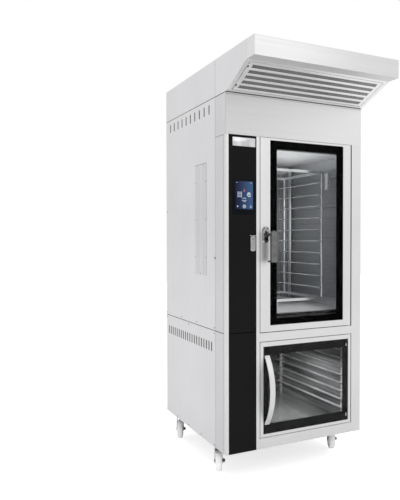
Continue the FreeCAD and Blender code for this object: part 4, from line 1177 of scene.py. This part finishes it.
@dataclass
class Hood:
    """The extraction hood with its sloped filter, blower and duct spigot."""

    lip: float = 257.0
    toe: float = 10.0
    front_low: float = 2102.0
    rear_low: float = 1995.0
    filter_x: Span = (27.4, 892.6)
    filter_end: float = 18.4
    filter_rim: float = 44.0
    filter_back: float = 7.8
    bands: int = 5
    band_width: float = 25.5
    band_gap: float = 17.5
    hole: float = 3.5
    pitch: Span = (9.8, 8.5)
    sheet: Span = (1.6, 1.0)
    rib: Span = (0.0, 3.0)
    pad_inset: float = 3.0
    pad_low: float = 4.5
    clips: Span = (34.0, 42.0)
    clip_inset: float = 5.0
    clip_half: Span = (4.5, 7.0)
    clip_depth: Span = (-1.2, 0.6)
    spigot: Triple = (460.0, 700.0, 2204.0)
    rivets: int = 8
    rivet_ring: float = 85.0

    def build(self) -> None:
        """Dress the hood and build its filter and spigot."""
        dress("hood_panels", SIDE_STEEL)
        dress("hood_front_box", HOOD_STEEL, 1.2)
        dress("filter_frame", RIM_STEEL, 1.0)
        dress("blower_motor", MOTOR, 1.5)
        dress("blower_wheel", ZINC)
        self.filter()
        self.duct()

    def slope(self, point: Vector) -> Vector:
        """Turn a place on the sloped plane into a cabinet place.

        Args:
            point: The place across, down and above the plane.

        Returns:
            The cabinet place.
        """
        run, drop = self.lip - self.toe, self.front_low - self.rear_low
        long = math.hypot(run, drop)
        return Vector((point.x, -self.lip + (point.y * run + point.z * drop) / long,
                       self.front_low + (point.z * run - point.y * drop) / long))

    def filter(self) -> None:
        """Build the grease filter: five perforated bands between ribs, in a folded rim, on a near-black mesh
        pad that is painted shade seen through the holes.
        """
        long = math.hypot(self.lip - self.toe, self.front_low - self.rear_low)
        down = (self.filter_end, long - self.filter_end)
        left, right = self.filter_x
        tall = self.bands * self.band_width + (self.bands - 1) * self.band_gap
        top = (sum(down) - tall) / 2
        heads = [top + band * (self.band_width + self.band_gap) for band in range(self.bands)]
        columns = int((right - left - self.filter_rim) // self.pitch[0])
        start = (left + right - columns * self.pitch[0]) / 2
        rows = round(self.band_width / self.pitch[1])
        low, thick = self.sheet
        sheet = Form("filter_sheet", self.slope)
        ribs = Form("filter_ribs", self.slope)
        cuts = [down[0]]
        for head in heads:
            sheet.perforated(Vector((start, head, low)), columns, rows, self.pitch, self.hole, thick, True)
            cuts += [head, head + self.band_width]
        cuts.append(down[1])
        sheet.made(FILTER_STEEL, "cabinet", ("hood_filter",))
        for span in zip(cuts[::2], cuts[1::2]):
            ribs.block((left, right), span, self.rib, 0.9)
        for x in ((left, start), (right - (start - left), right)):
            ribs.block(x, down, (0.2, self.filter_back), 0.8)
        ribs.made(RIM_STEEL, "cabinet")
        # A near-black pad behind the sheet: painted shade seen through the holes
        pad = Form("filter_pad", self.slope)
        inset = self.pad_inset
        pad.block((left + inset, right - inset), (down[0] + inset, down[1] - inset),
                  (self.pad_low, self.filter_back), 0.8)
        pad.made(FILTER_SHADE_PAD, "cabinet")
        clips = Form("filter_clips", self.slope)
        x = left + self.clip_inset
        wide, tall = self.clip_half
        for v in (down[0] + self.clips[0], down[1] - self.clips[1]):
            clips.block((x - wide, x + wide), (v - tall, v + tall), self.clip_depth, 0.5)
            clips.turned(Vector((x, v, -1.0)), -UPWARD, CLIP_PIN, 12)
        clips.made(DARK_ZINC_AND_SHADE, "cabinet")

    def duct(self) -> None:
        """Build the duct spigot with a rolled lip, a bead and a foot flange."""
        form = Form("duct_spigot")
        foot = Vector(self.spigot)
        form.turned(foot, UPWARD, SPIGOT, 64, True)
        half = 180 / self.rivets
        for x, y in arc(self.rivet_ring, half, 360 - half, self.rivets - 1):
            form.turned(foot + Vector((x, y, 2.0)), UPWARD, RIVET, 12)
        form.made(ZINC, "cabinet", ("exhaust_spigot",))


@dataclass
class OvenCavity:
    """The lined cavity with its turning rack, lamp, fan and heater."""

    rack: Point = (527.5, 401.5)
    wire_x: float = 204.5
    wire_y: float = 249.0
    wire: float = 3.4
    bend: float = 9.0
    hook: float = 17.0
    first: float = 886.0
    pitch: float = 73.5
    levels: int = 10
    lamp_y: Span = (270.0, 310.0)
    lamp_z: Span = (1513.0, 1625.0)
    lamp_rim: float = 10.0
    lamp_round: Span = (8.0, 6.0)
    lamp_depth: float = 4.5
    cover_depth: Span = (3.0, 7.0)
    wall: float = 865.0
    baffle: float = 741.0
    slots: Tuple[Span, Span] = ((215.0, 198.0), (840.0, 857.0))
    slot_z: Span = (775.0, 1695.0)
    flange: float = 14.0
    flange_sheet: Span = (0.1, 1.3)
    flange_lift: Span = (11.8, 13.0)
    flange_bend: float = 0.5

    def build(self) -> None:
        """Dress the cavity and build the rack wires and the lamp."""
        dress("cavity_liner", OVEN_STEEL)
        dress("fan_baffle", BAFFLE_STEEL)
        dress("insulation", WOOL)
        dress("heating_element", DARK_CHROME)
        dress("fan_motor", MOTOR)
        dress("convection_fan", WIRE_STEEL)
        dress("rack_drive", MOTOR, 1.5)
        dress("floor_bearing", WIRE_STEEL)
        dress("rack_frame", WIRE_STEEL)
        dress("latch_keep", ZINC, 0.8)
        dress("door_gasket", BLACK_RUBBER_AND_SHADE, 2.5)
        self.wires()
        self.lamp()
        self.flanges()

    def wires(self) -> None:
        """Build the tray wires with their ends bent inwards."""
        form = Form("rack_tray_wires")
        reach, run = self.wire_x - self.bend, self.wire_y - self.bend
        end = arc(self.bend, 0, 90, 5, (reach, run)) + [(reach - self.hook, self.wire_y)]
        line = [(a, -b) for a, b in reversed(end)] + end
        for level in range(self.levels):
            z = self.first + self.pitch * level
            for side in (-1, 1):
                places = [Vector((self.rack[0] + side * a, self.rack[1] + b, z)) for a, b in line]
                form.tube(places, self.wire, 10)
        form.made(WIRE_STEEL, "rack", ("rack_wires",))

    def flanges(self) -> None:
        """Build the bent flanges that narrow the air slots beside the baffle."""
        form = Form("baffle_flanges")
        back, front = (self.baffle - depth for depth in self.flange_sheet)
        low, high = (self.baffle - depth for depth in self.flange_lift)
        for inner, outer in self.slots:
            way = 1 if outer > inner else -1
            foot = inner - way * self.flange
            ring = ((foot, back), (foot, front), (inner, front), (outer, high), (outer, low),
                    (inner + way * self.flange_bend, back))
            form.loft([[Vector((x, y, z)) for x, y in ring] for z in self.slot_z])
        form.made(BAFFLE_STEEL, "cabinet")

    def lamp(self) -> None:
        """Build the lamp: a steel rim with an opal cover in it."""

        def on_wall(a: float, b: float, depth: float) -> Vector:
            """Place an outline on the right wall."""
            return Vector((self.wall - depth, sum(self.lamp_y) / 2 - a, sum(self.lamp_z) / 2 + b))

        wide, tall = self.lamp_y[1] - self.lamp_y[0], self.lamp_z[1] - self.lamp_z[0]
        rim = Form("lamp_rim")
        rim.prism(rounded_outline(wide, tall, self.lamp_round[0]), on_wall, 0.0, self.lamp_depth, 1.2)
        rim.made(WIRE_STEEL, "cabinet", ("oven_lamp",))
        cover = Form("lamp_cover")
        outline = rounded_outline(wide - self.lamp_rim, tall - self.lamp_rim, self.lamp_round[1])
        cover.prism(outline, on_wall, *self.cover_depth, 2.5, 4)
        cover.made(OPAL, "cabinet")


SPINDLE: Outline = ((0, 8.8), (0.4, 15), (4, 15.5), (7, 14.5), (10, 11), (14, 9.2), (30, 9), (38, 9.6),
                    (48, 9.6), (51, 8.8), (53.2, 6))
ROSETTE_SCREW: Outline = ((0, 5.2), (0.5, 5.0), (0.7, 3.4), (0.2, 2.6), (-0.8, 2.2))


@dataclass
class OvenDoor:
    """The glazed oven door with its printed border, rosette and lever."""

    pane: Tuple[Span, Span] = ((279.0, 787.0), (700.0, 1754.0))
    window: Tuple[Span, Span] = ((325.0, 739.0), (739.0, 1710.0))
    print_y: Span = (5.02, 5.5)
    spindle: Point = (250.0, 1217.0)
    rosette: Triple = (45.0, 95.0, 8.0)
    rosette_step: float = 7.0
    rosette_base: float = -4.5
    rosette_seat: float = -3.5
    spindle_foot: float = -8.3
    rosette_screw: float = 33.0
    grip_x: Span = (254.0, 292.0)
    grip_y: Span = (-62.0, -44.0)
    grip_z: Span = (1062.0, 1240.0)
    crown: float = 17.0
    hook: float = 16.0
    hook_z: Span = (0.5, 11.5)
    spine_x: Span = (-2.2, 3.0)
    spine_z: Span = (6.0, -18.0)

    def build(self) -> None:
        """Dress the door and build its border, rosette and lever."""
        dress("door_frame", FRONT_STEEL, 1.5)
        dress("door_glass", CLEAR)
        form = Form("door_printed_border").border(self.pane, self.window, self.print_y)
        form.made(PRINT_BLACK, "oven_door")
        self.plate()
        self.lever()

    def plate(self) -> None:
        """Build the oval rosette with a stepped face and two screws."""
        x, z = self.spindle
        wide, tall, thick = self.rosette
        small, short = wide - self.rosette_step, tall - self.rosette_step
        form = Form("rosette_plate")
        outline = rounded_outline(wide, tall, wide / 2 - 0.1, 10)
        form.prism(outline, upright(x, z), 0.0, self.rosette_base, 1.5, 3)
        outline = rounded_outline(small, short, small / 2 - 0.1, 10)
        form.prism(outline, upright(x, z), self.rosette_seat, -thick, 2.5, 4)
        form.made(CHROME, "oven_door", ("handle_rosette",))
        screws = Form("rosette_screws")
        for side in (-1, 1):
            spot = Vector((x, -thick + 0.4, z + side * self.rosette_screw))
            screws.turned(spot, FORWARD, ROSETTE_SCREW, 18)
        screws.made(DARK_ZINC_AND_SHADE, "oven_door")

    def lever(self) -> None:
        """Build the spindle, the flat grip with its round top and the finger hook."""
        x, z = self.spindle
        shaft = Form("lever_spindle")
        shaft.turned(Vector((x, self.spindle_foot, z)), FORWARD, SPINDLE, 28)
        shaft.made(DARK_CHROME, "door_handle", ("door_handle",))
        wide, tall = self.grip_x[1] - self.grip_x[0], self.grip_z[1] - self.grip_z[0]
        outline = [(wide / 2 * a, tall / 2 - self.crown + self.crown * b) for a, b in arc(1.0, 0, 180, 15)]
        outline += [point for point in rounded_outline(wide, tall, 5.0, 5) if point[1] < 0]
        grip = Form("lever_grip")
        put = upright(sum(self.grip_x) / 2, sum(self.grip_z) / 2)
        grip.prism(outline, put, *reversed(self.grip_y), 4.0, 4)
        grip.made(GRIP_GREY, "door_handle")
        hook = Form("lever_hook")
        left, foot = self.grip_x[0], self.grip_z[0]
        hook.block((left - self.hook, left + 4), (self.grip_y[0] + 2, self.grip_y[1] - 2),
                   (foot + self.hook_z[0], foot + self.hook_z[1]), 3.0, 3)
        hook.block((left + self.spine_x[0], left + self.spine_x[1]), (self.grip_y[0] + 3, self.grip_y[1] - 3),
                   (foot + self.spine_z[0], self.grip_z[1] + self.spine_z[1]), 1.0)
        hook.made(DARK_CHROME, "door_handle")


CLAMP_SCREW: Outline = ((0, 3.2), (0.6, 3.0), (1.1, 1.8), (0.8, 1.0))


@dataclass
class Prover:
    """The prover below the oven: lined chamber, runners, glass door and bow handle."""

    pane: Tuple[Span, Span] = ((235.0, 827.0), (81.0, 581.0))
    window: Tuple[Span, Span] = ((273.0, 789.0), (136.0, 531.0))
    print_y: Span = (6.02, 6.5)
    clamp_inset: Span = (16.0, 34.0)
    clamp_half: Span = (5.0, 10.0)
    clamp_y: Span = (-2.4, 0.0)
    clamp_screw: Span = (-2.2, 5.0)
    bow_x: Span = (242.0, 275.0)
    bow_z: Span = (135.0, 530.0)
    bow_reach: float = 70.0
    bow_thick: float = 5.0
    bow_foot: float = 18.0
    bow_steps: int = 40
    foot_front: float = -4.0
    seat: float = -0.05

    def build(self) -> None:
        """Dress the prover and build its border, clamps and handle."""
        dress("prover_liner", PROVER_STEEL)
        dress("prover_runners", RUNNER_STEEL)
        dress("prover_heater", BLACK_RUBBER_AND_SHADE)
        dress("prover_door_frame", FRONT_STEEL, 1.2)
        dress("prover_glass", CLEAR)
        form = Form("prover_printed_border").border(self.pane, self.window, self.print_y)
        form.made(PRINT_GREY, "prover_door")
        self.clamps()
        self.bow()

    def clamps(self) -> None:
        """Build the glass clamps at the hinge side."""
        form = Form("glass_clamps")
        across, (low, high) = self.pane
        x = across[1] - self.clamp_inset[0]
        (wide, tall), (seat, apart) = self.clamp_half, self.clamp_screw
        for z in (low + self.clamp_inset[1], high - self.clamp_inset[1]):
            form.block((x - wide, x + wide), self.clamp_y, (z - tall, z + tall), 1.0)
            for shift in (-apart, apart):
                form.turned(Vector((x, seat, z + shift)), FORWARD, CLAMP_SCREW, 12)
        form.made(CHROME, "prover_door")

    def bow(self) -> None:
        """Build the bowed strip handle with its fixing feet."""
        low, high = self.bow_z
        half = (high - low) / 2
        radius = (half * half + self.bow_reach ** 2) / (2 * self.bow_reach)
        swing = math.asin(half / radius)
        section = rounded_outline(self.bow_x[1] - self.bow_x[0], self.bow_thick, 1.6, 3)
        rings = []
        for step in range(self.bow_steps + 1):
            angle = -swing + 2 * swing * step / self.bow_steps
            ring = []
            for a, b in section:
                reach = radius - self.bow_thick / 2 + b
                deep = radius - self.bow_reach - reach * math.cos(angle)
                ring.append(Vector((sum(self.bow_x) / 2 + a, min(self.seat, deep),
                                    (low + high) / 2 + reach * math.sin(angle))))
            rings.append(ring)
        form = Form("bow_handle")
        form.loft(rings)
        for foot in ((low, low + self.bow_foot), (high - self.bow_foot, high)):
            form.block((self.bow_x[0] + 1, self.bow_x[1] - 1), (self.foot_front, self.seat), foot, 1.4, 3)
        form.made(FRONT_STEEL, "prover_door", ("prover_handle",))


AXLE_HEAD: Outline = ((-0.2, 11.5), (1.2, 11.2), (2.4, 8.0), (2.8, 3.0))
AXLE_WASHER: Outline = ((-0.2, 13.5), (1.6, 13.5), (2.0, 12.6))
AXLE_NUT: Outline = ((1.5, 11.6), (9.5, 11.6), (10.8, 10.2))
AXLE_END: Outline = ((10, 5.8), (13, 5.8), (14, 4.8))
HALF_WHEEL: Outline = ((-19, 5.3), (-19, 15), (-17.5, 16.5), (-9, 18), (-8, 20), (-8, 42), (-9.5, 44.5),
                       (-17.5, 46), (-18.6, 48), (-18.2, 52), (-16.4, 56.4), (-13.4, 59.6), (-9.4, 61.6),
                       (-4.8, 62.35), (0, 62.5))
TREAD: Outline = ((-34, 3.0), (-35, -1.0), (-31, -3.6), (4, -3.4), (5, 0), (3, 3.4), (-26, 3.4))


@dataclass
class Castors:
    """Four swivel castors with forked legs, nylon wheels and toe brakes at the front."""

    side: float = 62.0
    width: float = 920.0
    front: float = 235.0
    back: float = 880.0
    trail: float = 35.0
    turn: float = -24.0
    axle: float = -102.5
    axle_radius: float = 4.9
    boss: float = 15.0
    top: float = -7.3
    low: float = -25.3
    inside: float = 21.0
    wall: float = 3.0
    spokes: int = 6
    pedal: Point = (-68.0, -24.0)
    pin: Span = (23.8, 3.95)
    treads: int = 4

    def build(self) -> None:
        """Dress the plates and build every castor."""
        # The plates' dark zinc is painted shade under the cabinet
        dress("castor_plates", DARK_ZINC_AND_SHADE, 0.8)
        for end, y in (("front", self.front), ("back", self.back)):
            for hand, x in (("left", self.side), ("right", self.width - self.side)):
                self.castor(f"{end}_{hand}", x, y, end == "front")

    def castor(self, name: str, x: float, y: float, braked: bool) -> None:
        """Build one castor on its bodies.

        Args:
            name: Which corner it stands at.
            x: Its upright axis across.
            y: Its upright axis in depth.
            braked: Whether it has a toe brake.
        """

        def here(point: Vector) -> Vector:
            """Place a castor's own places under its plate, turned to its rest angle."""
            return Matrix.Rotation(math.radians(self.turn), 3, "Z") @ point + Vector((x, y, 0))

        self.fork(name, here, braked)
        self.wheel(name, here)
        if braked:
            self.brake(name, here)

    def leg(self, braked: bool) -> List[Point]:
        """Give a leg's outline along and up.

        Args:
            braked: Whether it has an ear that carries a brake.

        Returns:
            The outline's points.
        """
        points = [(24.0, self.top - 4), (-24.0, self.top - 4)]
        along, up = self.pedal
        if braked:
            points += [(along - 9, up + 8), (along - 11, up), (along - 7, up - 9), (-53.0, -46.0)]
        else:
            points += [(-36.0, -24.0), (-49.0, -60.0)]
        points += arc(self.boss, 170, 370, 8, (-self.trail, self.axle))
        return points + [(2.0, -70.0), (26.0, self.low)]

    def fork(self, name: str, here: Place, braked: bool) -> None:
        """Build a fork: its swivel head, two legs, axle and nuts.

        Args:
            name: Which corner it stands at.
            here: Places the castor in the cabinet.
            braked: Whether its legs carry a brake.
        """
        outer = self.inside + self.wall
        hub = Vector((0, -self.trail, self.axle))
        low, top = self.low, self.top
        head = ((low, 6.6), (low, 24), (low + 1.5, 30), (low + 5, 32), (top - 6, 32), (top - 4, 30.5),
                (top - 3.6, 27), (top, 26), (top, 6.6))
        form = Form(f"castor_fork_{name}_pressing", here)
        form.turned(Vector((0, 0, 0)), UPWARD, head, 40, True)
        for way in (-1, 1):
            form.prism(self.leg(braked), lambda a, b, depth: Vector((depth, a, b)), way * self.inside,
                       way * outer, 0.8)
        form.turned(hub - ACROSS * outer, ACROSS, ((0, self.axle_radius), (2 * outer, self.axle_radius)), 16)
        form.made(SHADED_FORK_ZINC, f"castor_fork_{name}", (f"castor_fork_{name}",))
        nuts = Form(f"castor_fork_{name}_nuts", here)
        nuts.turned(hub - ACROSS * outer, -ACROSS, AXLE_HEAD, 24)
        for profile, steps in ((AXLE_WASHER, 28), (AXLE_NUT, 6), (AXLE_END, 16)):
            nuts.turned(hub + ACROSS * outer, ACROSS, profile, steps)
        nuts.made(SHADED_FORK_ZINC, f"castor_fork_{name}")

    def wheel(self, name: str, here: Place) -> None:
        """Build a wheel with a round tread and ribbed sides.

        Args:
            name: Which corner it stands at.
            here: Places the castor in the cabinet.
        """
        hub = Vector((0, -self.trail, self.axle))
        form = Form(f"castor_wheel_{name}_tyre", here)
        profile = list(HALF_WHEEL) + [(-along, r) for along, r in reversed(HALF_WHEEL[:-1])]
        form.turned(hub, ACROSS, profile, 56, True)
        for along, up in arc(1.0, 0, 360 - 360 / self.spokes, self.spokes - 1):
            out = Vector((0, along, up))
            aside = Vector((0, -out.z, out.y)) * 2.2
            for way in (-1, 1):
                form.loft([[hub + out * radius + ACROSS * way * a + aside * s
                            for a, s in ((6, -1), (proud, -1), (proud, 1), (6, 1))]
                           for radius, proud in ((17, 11), (45, 10))])
        form.made(NYLON, f"castor_wheel_{name}", (f"castor_wheel_{name}",))

    def brake(self, name: str, here: Place) -> None:
        """Build a toe brake: a ribbed tread on its pin.

        Args:
            name: Which corner it stands at.
            here: Places the castor in the cabinet.
        """
        form = Form(f"castor_brake_{name}_tread", here)
        along, up = self.pedal
        half = self.inside - 0.6
        form.prism(TREAD, lambda a, b, depth: Vector((depth, along + a, up + b)), -half, half, 1.2)
        for number in range(self.treads):
            start = along - 29 + number * 6
            form.block((-self.inside + 3, self.inside - 3), (start, start + 3), (up + 2, up + 4.4), 0.6)
        reach, radius = self.pin
        form.turned(Vector((-reach, along, up)), ACROSS, ((0, radius), (2 * reach, radius)), 16)
        form.made(BRAKE_PLASTIC, f"castor_brake_{name}", (f"castor_brake_{name}",))


GLAND_NUT: Outline = ((0, 9.1), (0, 16), (9, 16), (9.6, 15.2), (9.6, 9.1))
GLAND_CAP: Outline = ((9, 9.1), (9, 13.4), (12, 13.4), (12, 15), (24, 15), (27, 13.4), (29.2, 11.5),
                      (30, 9.8), (29.5, 9.1))
INLET_FOOT: Outline = ((0, 18), (3.5, 18), (4, 17), (4.2, 12.2))
INLET_MOUTH: Outline = ((29.2, 12.2), (30, 11.6), (30, 8.6), (24, 8.4))
DRAIN: Outline = ((0, 24), (2.2, 24), (2.8, 22.5), (3, 16), (24, 16), (25, 16.4), (28, 16.4), (29.4, 16),
                  (30, 15.4), (30, 14), (6, 13.8))


@dataclass
class RearFittings:
    """The cable gland, water inlet and drain at the back of the base."""

    back: float = 980.0
    level: float = 300.0
    gland: float = 120.0
    inlet: float = 760.0
    thread_turns: int = 11
    thread_pitch: float = 2.1
    drain: Point = (460.0, 90.0)

    def build(self) -> None:
        """Build the three fittings."""
        gland = Form("cable_gland")
        spot = Vector((self.gland, self.back, self.level))
        gland.turned(spot, BACKWARD, GLAND_NUT, 6, True)
        gland.turned(spot, BACKWARD, GLAND_CAP, 36, True)
        gland.made(BLACK_RUBBER_AND_SHADE, "cabinet", ("rear_fittings",))
        pipes = Form("water_fittings")
        inlet = list(INLET_FOOT)
        for turn in range(self.thread_turns):
            start = turn * self.thread_pitch
            inlet += [(5.5 + start, 12.1), (6.5 + start, 13.2)]
        inlet += INLET_MOUTH
        pipes.turned(Vector((self.inlet, self.back, self.level)), BACKWARD, inlet, 32)
        pipes.turned(Vector((self.drain[0], self.back, self.drain[1])), BACKWARD, DRAIN, 36)
        pipes.made(ZINC, "cabinet")


# Studio


@dataclass(frozen=True)
class SoftLight:
    """One soft light: its cabinet place, what it faces, its size in metres and its power in watts."""

    name: str
    place: Triple
    target: Triple
    size: Span
    power: float
    mirrored: bool = True

    def hang(self) -> None:
        """Hang the light out of sight, so that only what it lights shows."""
        data = bpy.data.lights.new(self.name, "AREA")
        data.shape = "RECTANGLE"
        data.size, data.size_y = self.size
        data.energy = self.power
        light = bpy.data.objects.new(self.name, data)
        light.location = at(*self.place)
        light.rotation_euler = (at(*self.target) - at(*self.place)).to_track_quat("-Z", "Y").to_euler()
        light.visible_camera = False
        light.visible_transmission = False
        light.visible_glossy = self.mirrored
        bpy.context.scene.collection.objects.link(light)


LIGHTS = (
    SoftLight("front_softbox", (1500, -3200, 3200), (460, 0, 1200), (2.4, 2.4), 6.0),
    SoftLight("oven_ceiling_light", (527, 330, 1640), (527, 330, 1710), (0.62, 0.6), 1.4),
    SoftLight("oven_back_light", (540, 110, 1300), (360, 741, 1250), (0.2, 0.45), 1.0),
    SoftLight("oven_floor_light", (540, 300, 804), (540, 300, 760), (0.56, 0.42), 0.45),
    SoftLight("prover_wall_light", (330, 300, 570), (855, 330, 230), (0.4, 0.12), 0.9),
    SoftLight("low_front_light", (-1100, -1700, 80), (400, 300, -90), (1.6, 0.3), 14.0, mirrored=False),
    SoftLight("prover_floor_light", (480, 260, 420), (500, 300, 60), (0.4, 0.4), 5.0))


@dataclass
class Studio:
    """The pale floor, the soft light and the camera."""

    camera_place: Triple = (-1324.6, -2886.9, 1195.3)
    yaw: float = 28.041
    pitch: float = -1.123
    focal: float = 580.35
    frame_height: float = 500.0
    sensor: float = 36.0
    shift: float = -0.12
    floor_reach: float = 14.0
    floor_lift: float = 0.5
    floor_glow: float = 0.17
    side_dim: Tuple[Span, Span] = ((-1.0, 0.6), (0.9, 1.0))
    low_dim: Tuple[Span, Span] = ((-0.4, 0.5), (0.85, 1.0))
    corner_dim: Tuple[Span, Span] = ((-0.3, 0.3), (1.0, 0.72))

    def build(self) -> None:
        """Set floor, world, lights and camera."""
        self.floor()
        self.world()
        for light in LIGHTS:
            light.hang()
        self.camera()
        bpy.context.scene.view_settings.view_transform = "Standard"

    def floor(self) -> None:
        """Lay the floor."""
        mesh = bmesh.new()
        bmesh.ops.create_grid(mesh, x_segments=8, y_segments=8, size=self.floor_reach)
        data = bpy.data.meshes.new("studio_floor")
        mesh.to_mesh(data)
        mesh.free()
        floor = bpy.data.objects.new("studio_floor", data)
        bpy.context.scene.collection.objects.link(floor)
        paint = FLOOR_PAINT.material()
        bench = NodeBench(paint.node_tree)
        seen = bench.add("ShaderNodeLightPath").outputs["Is Camera Ray"]
        bench.fill(paint.node_tree.nodes["Principled BSDF"], {
            "Emission Strength": bench.maths("MULTIPLY_ADD", seen, self.floor_lift, self.floor_glow),
            "Emission Color": opaque(grey(1.0))})
        data.materials.append(paint)

    def world(self) -> None:
        """Set an even white surround, a little dimmer low down and on the left."""
        world = bpy.data.worlds.new("white_room")
        bpy.context.scene.world = world
        world.use_nodes = True
        bench = NodeBench(world.node_tree)
        way = bench.add("ShaderNodeTexCoord").outputs["Generated"]
        x, y, z = bench.add("ShaderNodeSeparateXYZ", {0: way}).outputs
        side = bench.ranged(x, *self.side_dim, Ease.SMOOTH)
        rise = bench.ranged(z, *self.low_dim, Ease.SMOOTH)
        away = bench.ranged(bench.maths("MULTIPLY", x, y), *self.corner_dim, Ease.SMOOTH)
        dim = bench.maths("MULTIPLY", bench.maths("MULTIPLY", side, rise), away)
        seen = bench.add("ShaderNodeLightPath").outputs["Is Camera Ray"]
        bench.fill(world.node_tree.nodes["Background"], {
            "Color": opaque(grey(1.0)), "Strength": bench.maths("MAXIMUM", dim, seen)})

    def camera(self) -> None:
        """Stand the camera at the photograph's viewing angle."""
        data = bpy.data.cameras.new("camera")
        data.sensor_width = self.sensor
        data.lens = self.focal / self.frame_height * self.sensor
        data.shift_x = self.shift
        camera = bpy.data.objects.new("camera", data)
        camera.location = at(*self.camera_place)
        camera.rotation_euler = (math.radians(90 + self.pitch), 0, math.radians(-self.yaw))
        bpy.context.scene.collection.objects.link(camera)
        bpy.context.scene.camera = camera


def main() -> None:
    """Build every sub-assembly in order, then the studio."""
    logging.basicConfig(level=logging.INFO, format="%(name)s %(message)s")
    for part in (Cabinet(), ControlColumn(), Hood(), OvenCavity(), OvenDoor(), Prover(), Castors(),
                 RearFittings(), Studio()):
        part.build()
        LOG.info("%s done", type(part).__name__)


if __name__ == "__main__":
    main()
